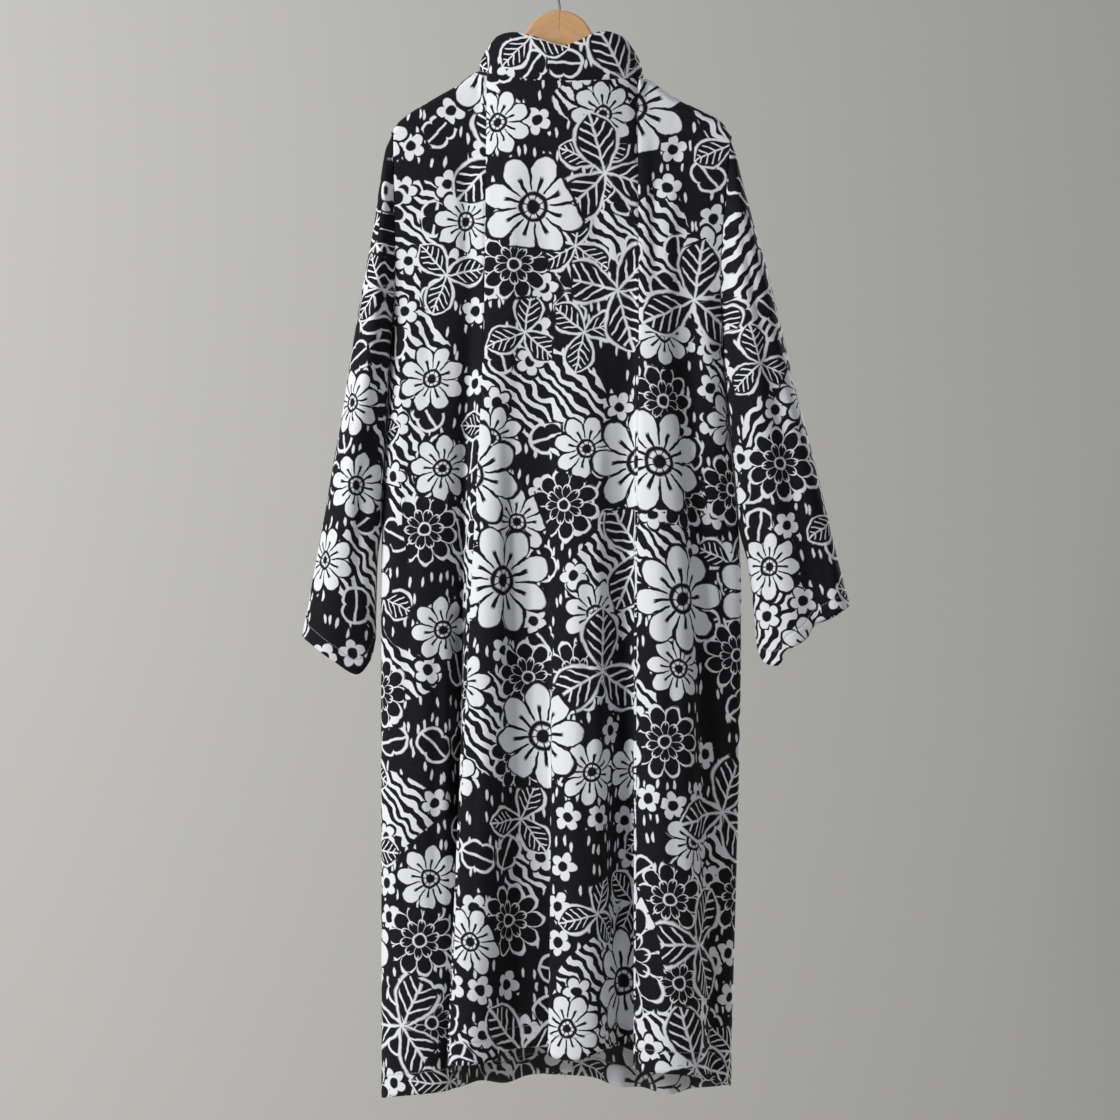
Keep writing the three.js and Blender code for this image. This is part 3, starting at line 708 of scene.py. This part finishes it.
def dahlia(w, radius, angle, line):
    """A black flower of two rounds of petals drawn in white lines: its cover and its ink."""
    rim, wave = petals(w, angle, 10, 0.42, 0.5)
    body = w.below(radius, rim, 0.008)
    cover = w.below(radius, w.times_plus(line, 1.4, rim), 0.008)
    parting = w.both(w.below(wave, 0.13, 0.05), w.above(radius, 0.2, 0.01))
    inner, inner_wave = petals(w, w.plus(angle, np.pi / 10), 10, 0.24, 0.5)
    round_two = w.either(near(w, radius, inner, 0.011),
                         w.both(w.below(inner_wave, 0.12, 0.05), w.below(radius, inner, 0.01),
                                w.above(radius, 0.09, 0.01)))
    eye = near(w, radius, 0.075, 0.012)
    white = w.either(parting, round_two, eye)
    return cover, w.minus(body, white, clamp=True)


def trefoil(w, radius, angle, line):
    """Three broad black leaves with white veins about a point: their cover and ink."""
    third = 2 * np.pi / 3
    turned = w.minus(w.math("FLOORED_MODULO", angle, third), third / 2)
    along = w.times(radius, w.math("COSINE", turned))
    aside = w.math("ABSOLUTE", w.times(radius, w.math("SINE", turned)))
    share = w.math("DIVIDE", along, 0.49)
    bow = w.times(w.minus(1.0, w.math("POWER", share, 2.2)), share)
    width = w.times(bow, 0.4)
    cover = w.below(aside, w.times_plus(line, 1.2, width), 0.01)
    leaf = w.below(aside, width, 0.008)
    slant = w.minus(along, w.times(aside, 0.9))
    veins = w.math("SINE", w.times(slant, 70.0))
    inside = w.below(aside, w.minus(width, line), 0.008)
    white = w.either(w.below(aside, 0.01, 0.006), w.both(w.above(veins, 0.72, 0.15), inside))
    return cover, w.minus(leaf, white, clamp=True)


def blossom(w, radius, angle, line):
    """A small white five-petalled flower: its cover and its ink."""
    rim, _ = petals(w, angle, 5, 0.4, 0.7)
    cover = w.below(radius, w.times_plus(line, 0.5, rim), 0.01)
    outline = near(w, radius, rim, line, 0.015)
    eye = w.below(radius, 0.13, 0.015)
    return cover, w.either(outline, eye)


def bud(w, radius, angle, line):
    """A black round bud with a white slit: its cover and its ink."""
    rim, _ = petals(w, angle, 2, 0.4, 0.5)
    body = w.below(radius, rim, 0.015)
    slit = w.below(w.math("ABSOLUTE", w.times(radius, w.math("SINE", angle))), 0.03, 0.015)
    return w.below(radius, w.plus(rim, 0.07), 0.015), w.minus(body, slit, clamp=True)


# The print's layers from the lowest up: motif size, jitter, shift, line weight, the draw below which a motif
# is left out, the motifs, and the draw above which each next one is taken
PRINT_LAYERS = (
    (0.5, 0.6, (7.7, 4.3, 0), 0.85, 0.3, (blossom, bud), (0.55,)),
    (1.0, 0.55, (0.37, 0.91, 0), 1.0, 0.18, (daisy, dahlia, trefoil), (0.36, 0.66)),
    (1.55, 0.6, (5.21, 2.67, 0), 1.15, 0.55, (daisy, dahlia, trefoil), (0.5, 0.72)),
)


def chosen_motif(w, radius, angle, draw, line, motifs, limits):
    """One of the motifs, by how many of the limits the cell's draw is above: its cover and its ink."""
    cover, ink = motifs[0](w, radius, angle, line)
    for motif, limit in zip(motifs[1:], limits):
        past = w.math("GREATER_THAN", draw, limit)
        next_cover, next_ink = motif(w, radius, angle, line)
        cover, ink = w.over(cover, next_cover, past), w.over(ink, next_ink, past)
    return cover, ink


def print_group(name):
    """The inked flower print: where the cloth carries ink, from a place on the flat cloth in metres."""
    tree, w, source, target = new_group(
        name, {"Place": None, "Motif size": 0.1, "Stroke": 0.0022, "Wobble": 0.0046}, ("Ink",))
    place, size, stroke, wobble = source[0:4]
    pressure = w.noise(place, 42.0, 1.0)[0]
    stroke = w.times(stroke, w.times_plus(pressure, 1.5, 0.3))
    shake = w.vector("SUBTRACT", w.noise(place, 62.0, 2.0)[1], (0.5, 0.5, 0.5))
    drawn = w.vector("ADD", place, w.vector("SCALE", shake, (0, 0, 0), scale=wobble))

    # Black ground with white flecks beside white ground with bold wavy stripes
    dark = w.above(w.noise(drawn, 6.5, 0.0)[0], 0.42, 0.003)
    upright = w.vector("MULTIPLY", drawn, (1.0, 0.3, 1.0))
    radius, _, draws, _ = motif_cell(w, upright, 0.0085, 0.9, (3.1, 1.7, 0))
    fleck = w.both(w.below(radius, 0.2, 0.05), w.math("GREATER_THAN", draws[1], 0.35))
    bands = w.node("ShaderNodeTexWave", {"Vector": drawn, "Scale": 38.0, "Distortion": 6.5, "Detail": 1.0,
                                         "Detail Scale": 1.0}, wave_type="BANDS", bands_direction="DIAGONAL")
    stripe = w.above(bands.outputs[1], 0.48, 0.07)
    ink = w.over(stripe, w.minus(1.0, fleck), dark)

    for scale, jitter, shift, weight, left_out, motifs, limits in PRINT_LAYERS:
        spread = w.times(size, scale)
        radius, angle, draws, edge = motif_cell(w, drawn, spread, jitter, shift)
        line = w.math("DIVIDE", w.times(stroke, weight), spread)
        cover, motif = chosen_motif(w, radius, angle, draws[1], line, motifs, limits)
        pressed = w.both(cover, w.below(edge, w.times(line, 0.7), 0.006))
        shown = w.both(cover, w.math("GREATER_THAN", draws[2], left_out))
        ink = w.over(ink, w.either(motif, pressed), shown)
    w.join(ink, target["Ink"])
    return tree


def weave_group(name):
    """Slubs and threads of a plain weave: a height and a slight tone, from a place on the flat cloth."""
    tree, w, source, target = new_group(name, {"Place": None, "Thread": 0.0011}, ("Height", "Tone", "Rumple"))
    place = source[0]
    pitch = w.math("DIVIDE", 1.0, source[1])
    warp, weft = (w.noise(w.vector("MULTIPLY", place, stretch), pitch, 2.0)[0]
                  for stretch in ((1.0, 0.08, 1.0), (0.08, 1.0, 1.0)))
    w.join(w.times(w.plus(warp, weft), 0.5), target["Height"])
    w.join(w.noise(place, 9.0, 3.0)[0], target["Tone"])
    slack = w.vector("MULTIPLY", place, (1.0, 0.45, 1.0))
    w.join(w.noise(slack, 26.0, 2.0, Roughness=0.4)[0], target["Rumple"])
    return tree


def stitch_group(name):
    """A row of stitches along the line where the stitch map's height is nought, and its pucker."""
    tree, w, source, target = new_group(name, {"Stitch map": None, "Pitch": 0.0035}, ("Stitch", "Pucker"))
    along, away = w.split(source[0])[0:2]
    off = w.math("ABSOLUTE", away)
    turns = w.times(along, w.math("DIVIDE", 2 * np.pi, source[1]))
    dash = w.above(w.math("SINE", turns), -0.6, 0.2)
    w.join(w.both(w.below(off, 0.00055, 0.0003), dash), target["Stitch"])
    w.join(w.below(off, 0.0012, 0.0012), target["Pucker"])
    return tree


def grain_group(name):
    """Wood grain that runs along the two arms of a hanger, from a place in metres."""
    tree, w, source, target = new_group(name, {"Place": None, "Slope": 0.6}, ("Grain", "Fine"))
    x, y, z = w.split(source[0])[0:3]
    side = w.math("ABSOLUTE", x)
    fall = w.plus(z, w.times(side, source[1]))
    run = w.times(w.minus(side, w.times(z, source[1])), 0.07)
    joined = w.node("ShaderNodeCombineXYZ", {0: run, 1: fall, 2: y}).outputs[0]
    w.join(w.noise(joined, 170.0, 3.0, "3D", Distortion=0.6)[0], target["Grain"])
    w.join(w.noise(joined, 900.0, 2.0, "3D")[0], target["Fine"])
    return tree


def new_material(name, values):
    """A new material with nodes, its wiring, and its shader with the given values."""
    material = bpy.data.materials.new(name)
    material.use_nodes = True
    shader = material.node_tree.nodes["Principled BSDF"]
    for key, value in values.items():
        shader.inputs[key].default_value = value
    return material, Wiring(material.node_tree), shader


def place_group(w, name, build, inputs):
    """A shared node group placed in a material with its own values."""
    node = w.node("ShaderNodeGroup", node_tree=shared(bpy.data.node_groups, name, build))
    for key, value in inputs.items():
        w.join(value, node.inputs[key])
    return node.outputs


def mix_colour(w, factor, a, b, blend="MIX"):
    node = w.node("ShaderNodeMix", data_type="RGBA", blend_type=blend)
    w.join(factor, node.inputs[0])
    w.join(a, node.inputs[6])
    w.join(b, node.inputs[7])
    return node.outputs[2]


# How far each part of the cloth's surface rises in its bump, and the colours of its weave's tone and stitches
WEAVE_RISE, RUMPLE_RISE, PUCKER_RISE, STITCH_RISE = 0.35, 3.2, -0.9, 0.6
TONE_LOW, TONE_HIGH = (0.9, 0.9, 0.91, 1), (1, 1, 1, 1)
STITCH_COLOUR = (0.4, 0.4, 0.41, 1)


def cotton(name, ink_strength):
    """Printed cotton with its weave, its stitched hems and a little wear in its tone."""
    settings = bpy.context.scene.coat_cloth
    material, w, shader = new_material(
        name, {"Specular IOR Level": 0.08, "Sheen Weight": 0.03, "Sheen Roughness": 0.5})
    flat, stitch_map = (w.node("ShaderNodeUVMap", uv_map=layer).outputs[0] for layer in ("cloth", "stitch"))
    ink = place_group(w, "Flower print", print_group, {
        "Place": flat, "Motif size": settings.motif_size, "Stroke": settings.stroke})["Ink"]
    weave = place_group(w, "Plain weave", weave_group, {"Place": flat})
    stitch = place_group(w, "Edge stitches", stitch_group, {"Stitch map": stitch_map})
    white, black = (*settings.cloth_white, 1), (*settings.cloth_ink, 1)
    faded = w.times(w.times_plus(weave["Height"], 0.02, 0.985), ink_strength)
    faded = w.times(ink, faded, clamp=True)
    tone = mix_colour(w, weave["Tone"], TONE_LOW, TONE_HIGH)
    ground = mix_colour(w, 1.0, white, tone, "MULTIPLY")
    colour = mix_colour(w, faded, ground, black)
    colour = mix_colour(w, w.times(stitch["Stitch"], 0.5), colour, STITCH_COLOUR)
    w.join(colour, shader.inputs["Base Color"])
    w.join(w.times_plus(faded, -0.1, 0.93), shader.inputs["Roughness"])
    height = w.times(weave["Height"], WEAVE_RISE)
    for part, rise in ((weave["Rumple"], RUMPLE_RISE), (stitch["Pucker"], PUCKER_RISE),
                       (stitch["Stitch"], STITCH_RISE)):
        height = w.plus(height, w.times(part, rise))
    bump = w.node("ShaderNodeBump", {"Height": height, "Distance": 0.0008, "Strength": 0.8})
    w.join(bump.outputs[0], shader.inputs["Normal"])
    return material


def cotton_material(name):
    return cotton(name, 1.0)


def cotton_inside_material(name):
    return cotton(name, 0.97)


def wood_material(name):
    """Pale varnished wood with its grain along each arm."""
    settings = bpy.context.scene.coat_hanger
    material, w, shader = new_material(name, {"Coat Weight": 0.3, "Coat Roughness": 0.25})
    grain = place_group(w, "Hanger grain", grain_group, {"Place": w.object_place()})
    light, late = (*settings.wood_light, 1), (*settings.wood_dark, 1)
    band = w.times(w.above(grain["Grain"], 0.5, 0.2), 0.4)
    colour = mix_colour(w, band, light, late)
    colour = mix_colour(w, w.times(grain["Fine"], 0.25), colour, late)
    w.join(colour, shader.inputs["Base Color"])
    w.join(w.times_plus(grain["Fine"], 0.2, 0.32), shader.inputs["Roughness"])
    bump = w.node("ShaderNodeBump", {"Height": grain["Fine"], "Distance": 0.0002, "Strength": 0.5})
    w.join(bump.outputs[0], shader.inputs["Normal"])
    return material


def clouded(name, values, scale, detail, dark, pale, roughness=None, **more):
    """A material between two colours by a fine noise, which can also add its share to a least roughness."""
    material, w, shader = new_material(name, values)
    noise = w.noise(w.object_place(), scale, detail, "3D", **more)[0]
    w.join(mix_colour(w, noise, (*dark, 1), (*pale, 1)), shader.inputs["Base Color"])
    if roughness:
        w.join(w.times_plus(noise, *roughness), shader.inputs["Roughness"])
    return material


def wire_material(name):
    """Dark plated wire with faint drawn marks."""
    return clouded(name, {"Metallic": 0.9}, 700.0, 3.0, (0.03, 0.03, 0.033), (0.09, 0.09, 0.095),
                   roughness=(0.25, 0.25))


def resin_material(name):
    """Dark pressed resin with faint clouding."""
    return clouded(name, {}, 160.0, 4.0, (0.012, 0.012, 0.014), (0.05, 0.048, 0.05),
                   roughness=(0.15, 0.25), Distortion=1.2)


def thread_material(name):
    """Black sewing thread."""
    return clouded(name, {"Roughness": 0.8}, 2500.0, 2.0, (0.02, 0.02, 0.022), (0.09, 0.09, 0.095))


def backdrop_material(name):
    """Pale grey paper with painted shade, darker toward the right in place of the key light's falloff,
    see-through from behind so that the coat's front can be looked at.
    """
    settings = bpy.context.scene.coat_stage
    material, w, shader = new_material(name, {"Roughness": 1.0, "Specular IOR Level": 0.0})
    place = w.object_place()
    cloud = w.times(w.noise(place, 0.8, 1.0, "3D")[0], 0.03)
    pale = (*settings.backdrop, 1)
    # Painted shade: the paper's colour darkened to 0.86, standing in for the key light falling off across the
    # wall
    painted_shade_colour = (*(part * 0.86 for part in settings.backdrop), 1)
    painted_shade_rightward = w.times_plus(w.split(place)[0], -0.55, 0.5, clamp=True)
    # The paper goes from its own colour at the left to the painted shade at the right, by the object's x
    paper = mix_colour(w, painted_shade_rightward, pale, painted_shade_colour)
    w.join(mix_colour(w, cloud, paper, (0.4, 0.4, 0.4, 1)), shader.inputs["Base Color"])
    behind = w.node("ShaderNodeNewGeometry").outputs["Backfacing"]
    w.join(w.minus(1.0, behind), shader.inputs["Alpha"])
    return material


def a_length(name, description, default, low, high):
    return FloatProperty(name=name, description=description, default=default, min=low, max=high,
                         unit="LENGTH")


def a_colour(name, description, default):
    return FloatVectorProperty(name=name, description=description, default=default, min=0, max=1,
                               subtype="COLOR")


def a_strength(name, description, default, high):
    return FloatProperty(name=name, description=description, default=default, min=0, max=high)


class CoatClothSettings(PropertyGroup):
    """Sizes and colours of the coat's cloth."""
    thickness: a_length("Cloth thickness", "Thickness of one layer of the cloth", 0.0009, 0.0003, 0.002)
    spacing: a_length("Mesh spacing", "Distance between the cloth's mesh lines", 0.0045, 0.003, 0.02)
    seam_roll: a_length("Seam depth", "How far a sewn edge turns inward", 0.0012, 0, 0.003)
    seam_width: a_length("Seam width", "How far from its edge a seam turns inward", 0.0022, 0.0005, 0.01)
    hem: a_length("Hem", "Depth of the body's turned and stitched hem", 0.025, 0.005, 0.08)
    cuff_hem: a_length("Cuff hem", "Depth of a cuff's turned and stitched hem", 0.017, 0.005, 0.05)
    cloth_white: a_colour("Cloth", "Colour of the cloth between the ink", (0.83, 0.84, 0.865))
    cloth_ink: a_colour("Ink", "Colour of the printed ink", (0.007, 0.0067, 0.0088))
    motif_size: a_length("Motif size", "Distance between the large flowers", 0.094, 0.02, 0.4)
    stroke: a_length("Stroke", "Half the width of a drawn line", 0.0026, 0.0003, 0.01)


class CoatButtonSettings(PropertyGroup):
    """Sizes of the coat's buttons."""
    radius: a_length("Radius", "Radius of a button", 0.0098, 0.004, 0.02)
    height: a_length("Height", "Height of a button's rim", 0.0026, 0.001, 0.006)
    segments: IntProperty(name="Segments", description="Faces round a button", default=48, min=16, max=96)


class CoatHangerSettings(PropertyGroup):
    """Colours of the hanger."""
    wood_light: a_colour("Wood", "Colour of the wood between its grain lines", (0.76, 0.45, 0.215))
    wood_dark: a_colour("Grain", "Colour of the wood's grain lines", (0.5, 0.255, 0.105))


class CoatStageSettings(PropertyGroup):
    """The camera, lights and backdrop."""
    distance: a_length("Camera distance", "From the camera to the hanger's plane", 3.0, 0.5, 10)
    view_width: a_length("View width", "Width of the picture in the hanger's plane", 1.2992, 0.2, 5)
    backdrop: a_colour("Backdrop", "Colour of the backdrop and floor", (0.628, 0.619, 0.590))
    key_power: a_strength("Key light", "Power of the large light at the upper left", 136.0, 1000)
    fill_power: a_strength("Fill light", "Power of the light at the right", 4.0, 1000)
    front_power: a_strength("Front light", "Power of the light on the coat's front", 90.0, 1000)
    room_light: a_strength("Room light", "Strength of the light from all round", 0.24, 5)


def body_cloth(node, sheet, start, end, outward, creases, roll, shift):
    """A panel of the body between two of its fold lines, by the names of their rows."""
    settings = bpy.context.scene.coat_cloth
    spacing = settings.spacing / MM
    first, last = sheet.names.index(start), sheet.names.index(end)
    middle = sheet.at(np.linspace(first, last, REACH_COLUMNS), np.array(REACH_FRACTIONS))
    reach = np.max(np.sum(np.linalg.norm(np.diff(middle, axis=0), axis=-1), axis=0))
    across = spaced(int(reach / spacing), "start" in roll, "end" in roll)
    down = spaced(int(abs(sheet.lines[first].hem_z) / spacing), True, False)
    down = ROW_CROWDING * down + (1 - ROW_CROWDING) * down**ROW_POWER
    points = crease(sheet.at(first + (last - first) * across, down), creases, outward)
    cloth_piece(node, points, outward, settings.hem, roll, shift)


class COAT_OT_back(Operator):
    """Cuts and hangs the three panels of the coat's back."""
    bl_idname = "coat.back"
    bl_label = "Back panels"

    def execute(self, context):
        left, right = "hanger_wood_left", "hanger_wood_right"
        for node, start, end, shift, rests in (
                ("back_left", "sideLeft", "seamLeft", (0.31, 0.12), [left]),
                ("back_centre", "seamLeft", "seamRight", (0.0, 0.0), [left, right]),
                ("back_right", "seamRight", "sideRight", (0.83, 0.44), [right])):
            body_cloth(node, back_sheet, start, end, 1, BACK_CREASES, ("start", "end", "top"), shift)
        return {"FINISHED"}


class COAT_OT_fronts(Operator):
    """Cuts and hangs the two fronts, the wearer's right one lapped over the left."""
    bl_idname = "coat.fronts"
    bl_label = "Fronts"

    def execute(self, context):
        for side, sheet, start, outward, shift in (
                ("left", front_left_sheet, "sideLeft", -1, (1.37, 0.71)),
                ("right", front_right_sheet, "sideRight", 1, (1.91, 0.29))):
            body_cloth(f"front_{side}", sheet, start, "edge", outward, FRONT_CREASES, ("start", "top"), shift)
        return {"FINISHED"}


def sleeve_cloth(node, rings, drops, folds, side, fronts, outward, creases, shift):
    """A sleeve from its armhole to its cuff."""
    settings = bpy.context.scene.coat_cloth
    spacing = settings.spacing / MM
    around = np.linspace(0, 1, int(SLEEVE_GIRTH / spacing) + 1)
    down = spaced(int(SLEEVE_LENGTH / spacing), True, False)
    points = sleeve_points(rings, drops, folds, side, fronts, outward, around, down)
    points[-1] = points[0]
    points = crease(points, creases, outward)
    points[-1] = points[0]
    run = points[len(points) // 2, -1] - points[len(points) // 2, 0]
    cloth_piece(node, points, outward, settings.cuff_hem, ("top",), shift, run=run)


class COAT_OT_sleeves(Operator):
    """Cuts and hangs the two sleeves."""
    bl_idname = "coat.sleeves"
    bl_label = "Sleeves"

    def execute(self, context):
        sleeve_cloth("sleeve_left", LEFT_SLEEVE_RINGS, LEFT_CUFF_DROPS, LEFT_SLEEVE_FOLDS,
                     back_sheet.lines[0], front_left_sheet.lines[0], 1, SLEEVE_CREASES_LEFT,
                     (2.43, 0.17))
        sleeve_cloth("sleeve_right", RIGHT_SLEEVE_RINGS, RIGHT_CUFF_DROPS, RIGHT_SLEEVE_FOLDS,
                     back_sheet.lines[-1], front_right_sheet.lines[0], -1, SLEEVE_CREASES_RIGHT,
                     (2.97, 0.63))
        return {"FINISHED"}


class COAT_OT_collar(Operator):
    """Sets the stand collar on the neckline."""
    bl_idname = "coat.collar"
    bl_label = "Stand collar"

    def execute(self, context):
        points = collar_points(np.linspace(0, 1, COLLAR_COLUMNS), spaced(COLLAR_ROWS, False, True))
        cloth_piece("collar", points, 1, 0.0, ("bottom",), (3.53, 0.37),
                    thick=1.5)
        return {"FINISHED"}


def seat_matrix(low, high):
    """A turn and place that sets a button, made lying on XY, on the front where its node is."""
    sheet = front_right_sheet
    lap = sheet.names.index("lapStart")
    centre = (Vector(low) + Vector(high)) / 2
    line = sheet.lines[lap]
    fraction = (centre.z / MM - line.top_z) / (line.hem_z - line.top_z)
    here, lower = sheet.at(np.array([lap + SEAT]), np.array([fraction, fraction + SEAT_BELOW]))[0]
    beside = sheet.at(np.array([lap + SEAT + SEAT_ASIDE]), np.array([fraction]))[0, 0]
    normal = Vector(np.cross(beside - here, lower - here)).normalized()
    if normal.y > 0:
        normal = -normal
    return Matrix.Translation(centre) @ normal.to_track_quat("Z", "Y").to_matrix().to_4x4()


# A button's profile from its middle outward, in radii and heights, and the bundles of its crossed thread
BUTTON_PROFILE = (
    (0.16, 0.05), (0.3, 0.05), (0.46, 0.05), (0.58, 0.07), (0.68, 0.3), (0.8, 0.5), (0.92, 0.42),
    (0.99, 0.1), (0.97, -0.25), (0.8, -0.48), (0.4, -0.5),
)
THREAD_RADIUS = 0.0007
THREAD_RISE = 0.0006
THREAD_REACH = 0.3
THREAD_LIFT = 0.05


def seated_mesh(bm, name, seat):
    """The bmesh, made lying on XY, as a smooth mesh on its seat."""
    bmesh.ops.recalc_face_normals(bm, faces=bm.faces)
    bm.transform(seat)
    return smooth_mesh(bm, name)


def button_mesh(name, settings, seat):
    """A turned button on its seat: a spun profile with a dish inside its rim."""
    bm = bmesh.new()
    start = [bm.verts.new((r * settings.radius, 0, z * settings.height)) for r, z in BUTTON_PROFILE]
    edges = [bm.edges.new(pair) for pair in zip(start, start[1:])]
    bmesh.ops.spin(bm, geom=start + edges, cent=(0, 0, 0), axis=(0, 0, 1), dvec=(0, 0, 0),
                   angle=2 * np.pi, steps=settings.segments, use_merge=True, use_duplicate=False)
    bmesh.ops.remove_doubles(bm, verts=bm.verts, dist=1e-6)
    rims = [edge for edge in bm.edges if edge.is_boundary]
    bmesh.ops.holes_fill(bm, edges=rims, sides=0)
    return seated_mesh(bm, name, seat)


def thread_mesh(name, settings, seat):
    """Two crossed stitches over a button's dish, each a bent bundle of thread."""
    bm = bmesh.new()
    reach = settings.radius * THREAD_REACH
    lift = settings.height * THREAD_LIFT
    bundle = Matrix.Diagonal((THREAD_RADIUS, THREAD_RADIUS, reach, 1))
    for turn in (np.pi / 4, 3 * np.pi / 4):
        made = bmesh.ops.create_uvsphere(bm, u_segments=10, v_segments=14, radius=1,
                                         matrix=Matrix.Rotation(np.pi / 2, 4, "Y") @ bundle)["verts"]
        for vertex in made:
            vertex.co.z += lift + THREAD_RISE * (1 - (vertex.co.x / reach) ** 2)
        bmesh.ops.rotate(bm, verts=made, cent=(0, 0, 0), matrix=Matrix.Rotation(turn, 3, "Z"))
    return seated_mesh(bm, name, seat)


def add_piece(name, mesh, material, slot_name, *nodes):
    """A finished mesh as a piece that rides on the part, in place of the nodes named."""
    mesh.materials.append(material)
    piece = in_scene(name, mesh)
    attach(piece, "root")
    if nodes:
        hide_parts(*nodes)


class COAT_OT_buttons(Operator):
    """Turns the five buttons and sews them on."""
    bl_idname = "coat.buttons"
    bl_label = "Buttons"

    def execute(self, context):
        settings = context.scene.coat_button
        resin = shared(bpy.data.materials, "button resin", resin_material)
        thread = shared(bpy.data.materials, "button thread", thread_material)
        for node in sorted(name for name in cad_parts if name.startswith("button_")):
            seat = seat_matrix(*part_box(node))
            add_piece(f"{node}_turned", button_mesh(node, settings, seat), resin, "button_dark", node)
            add_piece(f"{node}_thread", thread_mesh(f"{node}_thread", settings, seat), thread, "button_dark")
        return {"FINISHED"}


class COAT_OT_hanger(Operator):
    """Finishes the hanger's wood and the wire of its hook."""
    bl_idname = "coat.hanger"
    bl_label = "Hanger"

    def execute(self, context):
        wood = shared(bpy.data.materials, "hanger wood", wood_material)
        for node in ("hanger_wood_left", "hanger_wood_right"):
            finish(node, wood)
        finish("hanger_hook", shared(bpy.data.materials, "hook wire", wire_material))
        return {"FINISHED"}


def finish(node, material):
    """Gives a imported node's object a material of its own."""
    piece = bpy.data.objects[node]
    for place in piece.material_slots:
        place.material = material
    if not piece.material_slots:
        raise RuntimeError(f"{node} has no material slot")


# The stage in metres: the backdrop's floor, corner and wall, the lights, which look at the coat's middle,
# and the camera's place
BACKDROP_WIDTH = 14
BACKDROP_STEPS = 24
CORNER_STEPS = BACKDROP_STEPS - 2
FLOOR_Z = -2.45
FLOOR_END_Y = 4.5
WALL_Y = -1.3
CORNER_RADIUS = 0.8
WALL_HEIGHT = 2.6
COAT_MIDDLE = Vector((0, 0, -0.7))
LIGHTS = (("key", (3.0, 2.2, 0.5), 1.4), ("fill", (-2.6, 2.2, -0.4), 2.4), ("front", (-2.4, -2.6, 0.6), 1.6))
ROOM_COLOUR = (0.95, 0.97, 1.0, 1)
CAMERA_X, CAMERA_Z = 0.0012, -0.699
SENSOR_WIDTH = 36


def backdrop_profile(step_number):
    """Depth and height of the backdrop's curve: floor, a round corner, then wall."""
    corner_y = WALL_Y + CORNER_RADIUS
    if step_number <= 1:
        return FLOOR_END_Y + (corner_y - FLOOR_END_Y) * step_number, FLOOR_Z
    if step_number >= CORNER_STEPS + 1:
        return WALL_Y, FLOOR_Z + CORNER_RADIUS + (step_number - CORNER_STEPS - 1) * WALL_HEIGHT
    angle = (step_number - 1) / CORNER_STEPS * np.pi / 2
    return WALL_Y + CORNER_RADIUS * (1 - np.sin(angle)), FLOOR_Z + CORNER_RADIUS * (1 - np.cos(angle))


def soft_light(name, location, size, power):
    """A square area light at a place, aimed at the coat's middle."""
    light = bpy.data.lights.new(name, "AREA")
    light.size = size
    light.energy = power
    turn = (COAT_MIDDLE - Vector(location)).to_track_quat("-Z", "Y")
    in_scene(name, light).matrix_world = Matrix.Translation(location) @ turn.to_matrix().to_4x4()


class COAT_OT_stage(Operator):
    """Sets up the backdrop, the soft lights and the camera at the photograph's angle."""
    bl_idname = "coat.stage"
    bl_label = "Stage"

    def execute(self, context):
        settings = context.scene.coat_stage
        bm = bmesh.new()
        bmesh.ops.create_grid(bm, x_segments=1, y_segments=BACKDROP_STEPS, size=0.5)
        for vertex in bm.verts:
            along = np.clip((vertex.co.y + 0.5) * BACKDROP_STEPS, 0, BACKDROP_STEPS)
            vertex.co = Vector((vertex.co.x * -BACKDROP_WIDTH, *backdrop_profile(along)))
        mesh = smooth_mesh(bm, "backdrop")
        mesh.materials.append(shared(bpy.data.materials, "backdrop paper", backdrop_material))
        backdrop = in_scene("backdrop", mesh)
        backdrop.visible_shadow = False

        world = bpy.data.worlds.new("soft room")
        world.use_nodes = True
        background = world.node_tree.nodes["Background"].inputs
        background[0].default_value = ROOM_COLOUR
        background[1].default_value = settings.room_light
        context.scene.world = world
        for name, place, size in LIGHTS:
            soft_light(name, place, size, getattr(settings, name + "_power"))

        lens = bpy.data.cameras.new("photograph")
        lens.sensor_width = SENSOR_WIDTH
        lens.lens = SENSOR_WIDTH * settings.distance / settings.view_width
        camera = in_scene("photograph", lens)
        camera.matrix_world = (Matrix.Translation((CAMERA_X, settings.distance, CAMERA_Z))
                               @ Matrix.Rotation(np.pi, 4, "Z") @ Matrix.Rotation(np.pi / 2, 4, "X"))
        context.scene.camera = camera
        context.scene.view_settings.view_transform = "Standard"
        return {"FINISHED"}


PIECES = (COAT_OT_back, COAT_OT_fronts, COAT_OT_sleeves, COAT_OT_collar, COAT_OT_buttons,
          COAT_OT_hanger, COAT_OT_stage)
SETTINGS = {"coat_cloth": CoatClothSettings, "coat_button": CoatButtonSettings,
            "coat_hanger": CoatHangerSettings, "coat_stage": CoatStageSettings}


class COAT_PT_pieces(Panel):
    """Lists the coat's settings and its pieces."""
    bl_idname = "COAT_PT_pieces"
    bl_label = "Long coat"
    bl_space_type = "VIEW_3D"
    bl_region_type = "UI"
    bl_category = "Coat"

    def draw(self, context):
        layout = self.layout
        for name, group in SETTINGS.items():
            box = layout.box()
            box.label(text=name.replace("_", " ").capitalize())
            for setting in group.__annotations__:
                box.prop(getattr(context.scene, name), setting)
        for piece in PIECES:
            layout.operator(piece.bl_idname)


def register():
    for item in (*SETTINGS.values(), *PIECES, COAT_PT_pieces):
        bpy.utils.register_class(item)
    for name, group in SETTINGS.items():
        setattr(bpy.types.Scene, name, PointerProperty(type=group))


def unregister():
    for name in SETTINGS:
        delattr(bpy.types.Scene, name)
    for item in reversed((*SETTINGS.values(), *PIECES, COAT_PT_pieces)):
        bpy.utils.unregister_class(item)


def main():
    register()
    for piece in PIECES:
        area, name = piece.bl_idname.split(".")
        getattr(getattr(bpy.ops, area), name)()


if __name__ == "__main__":
    main()
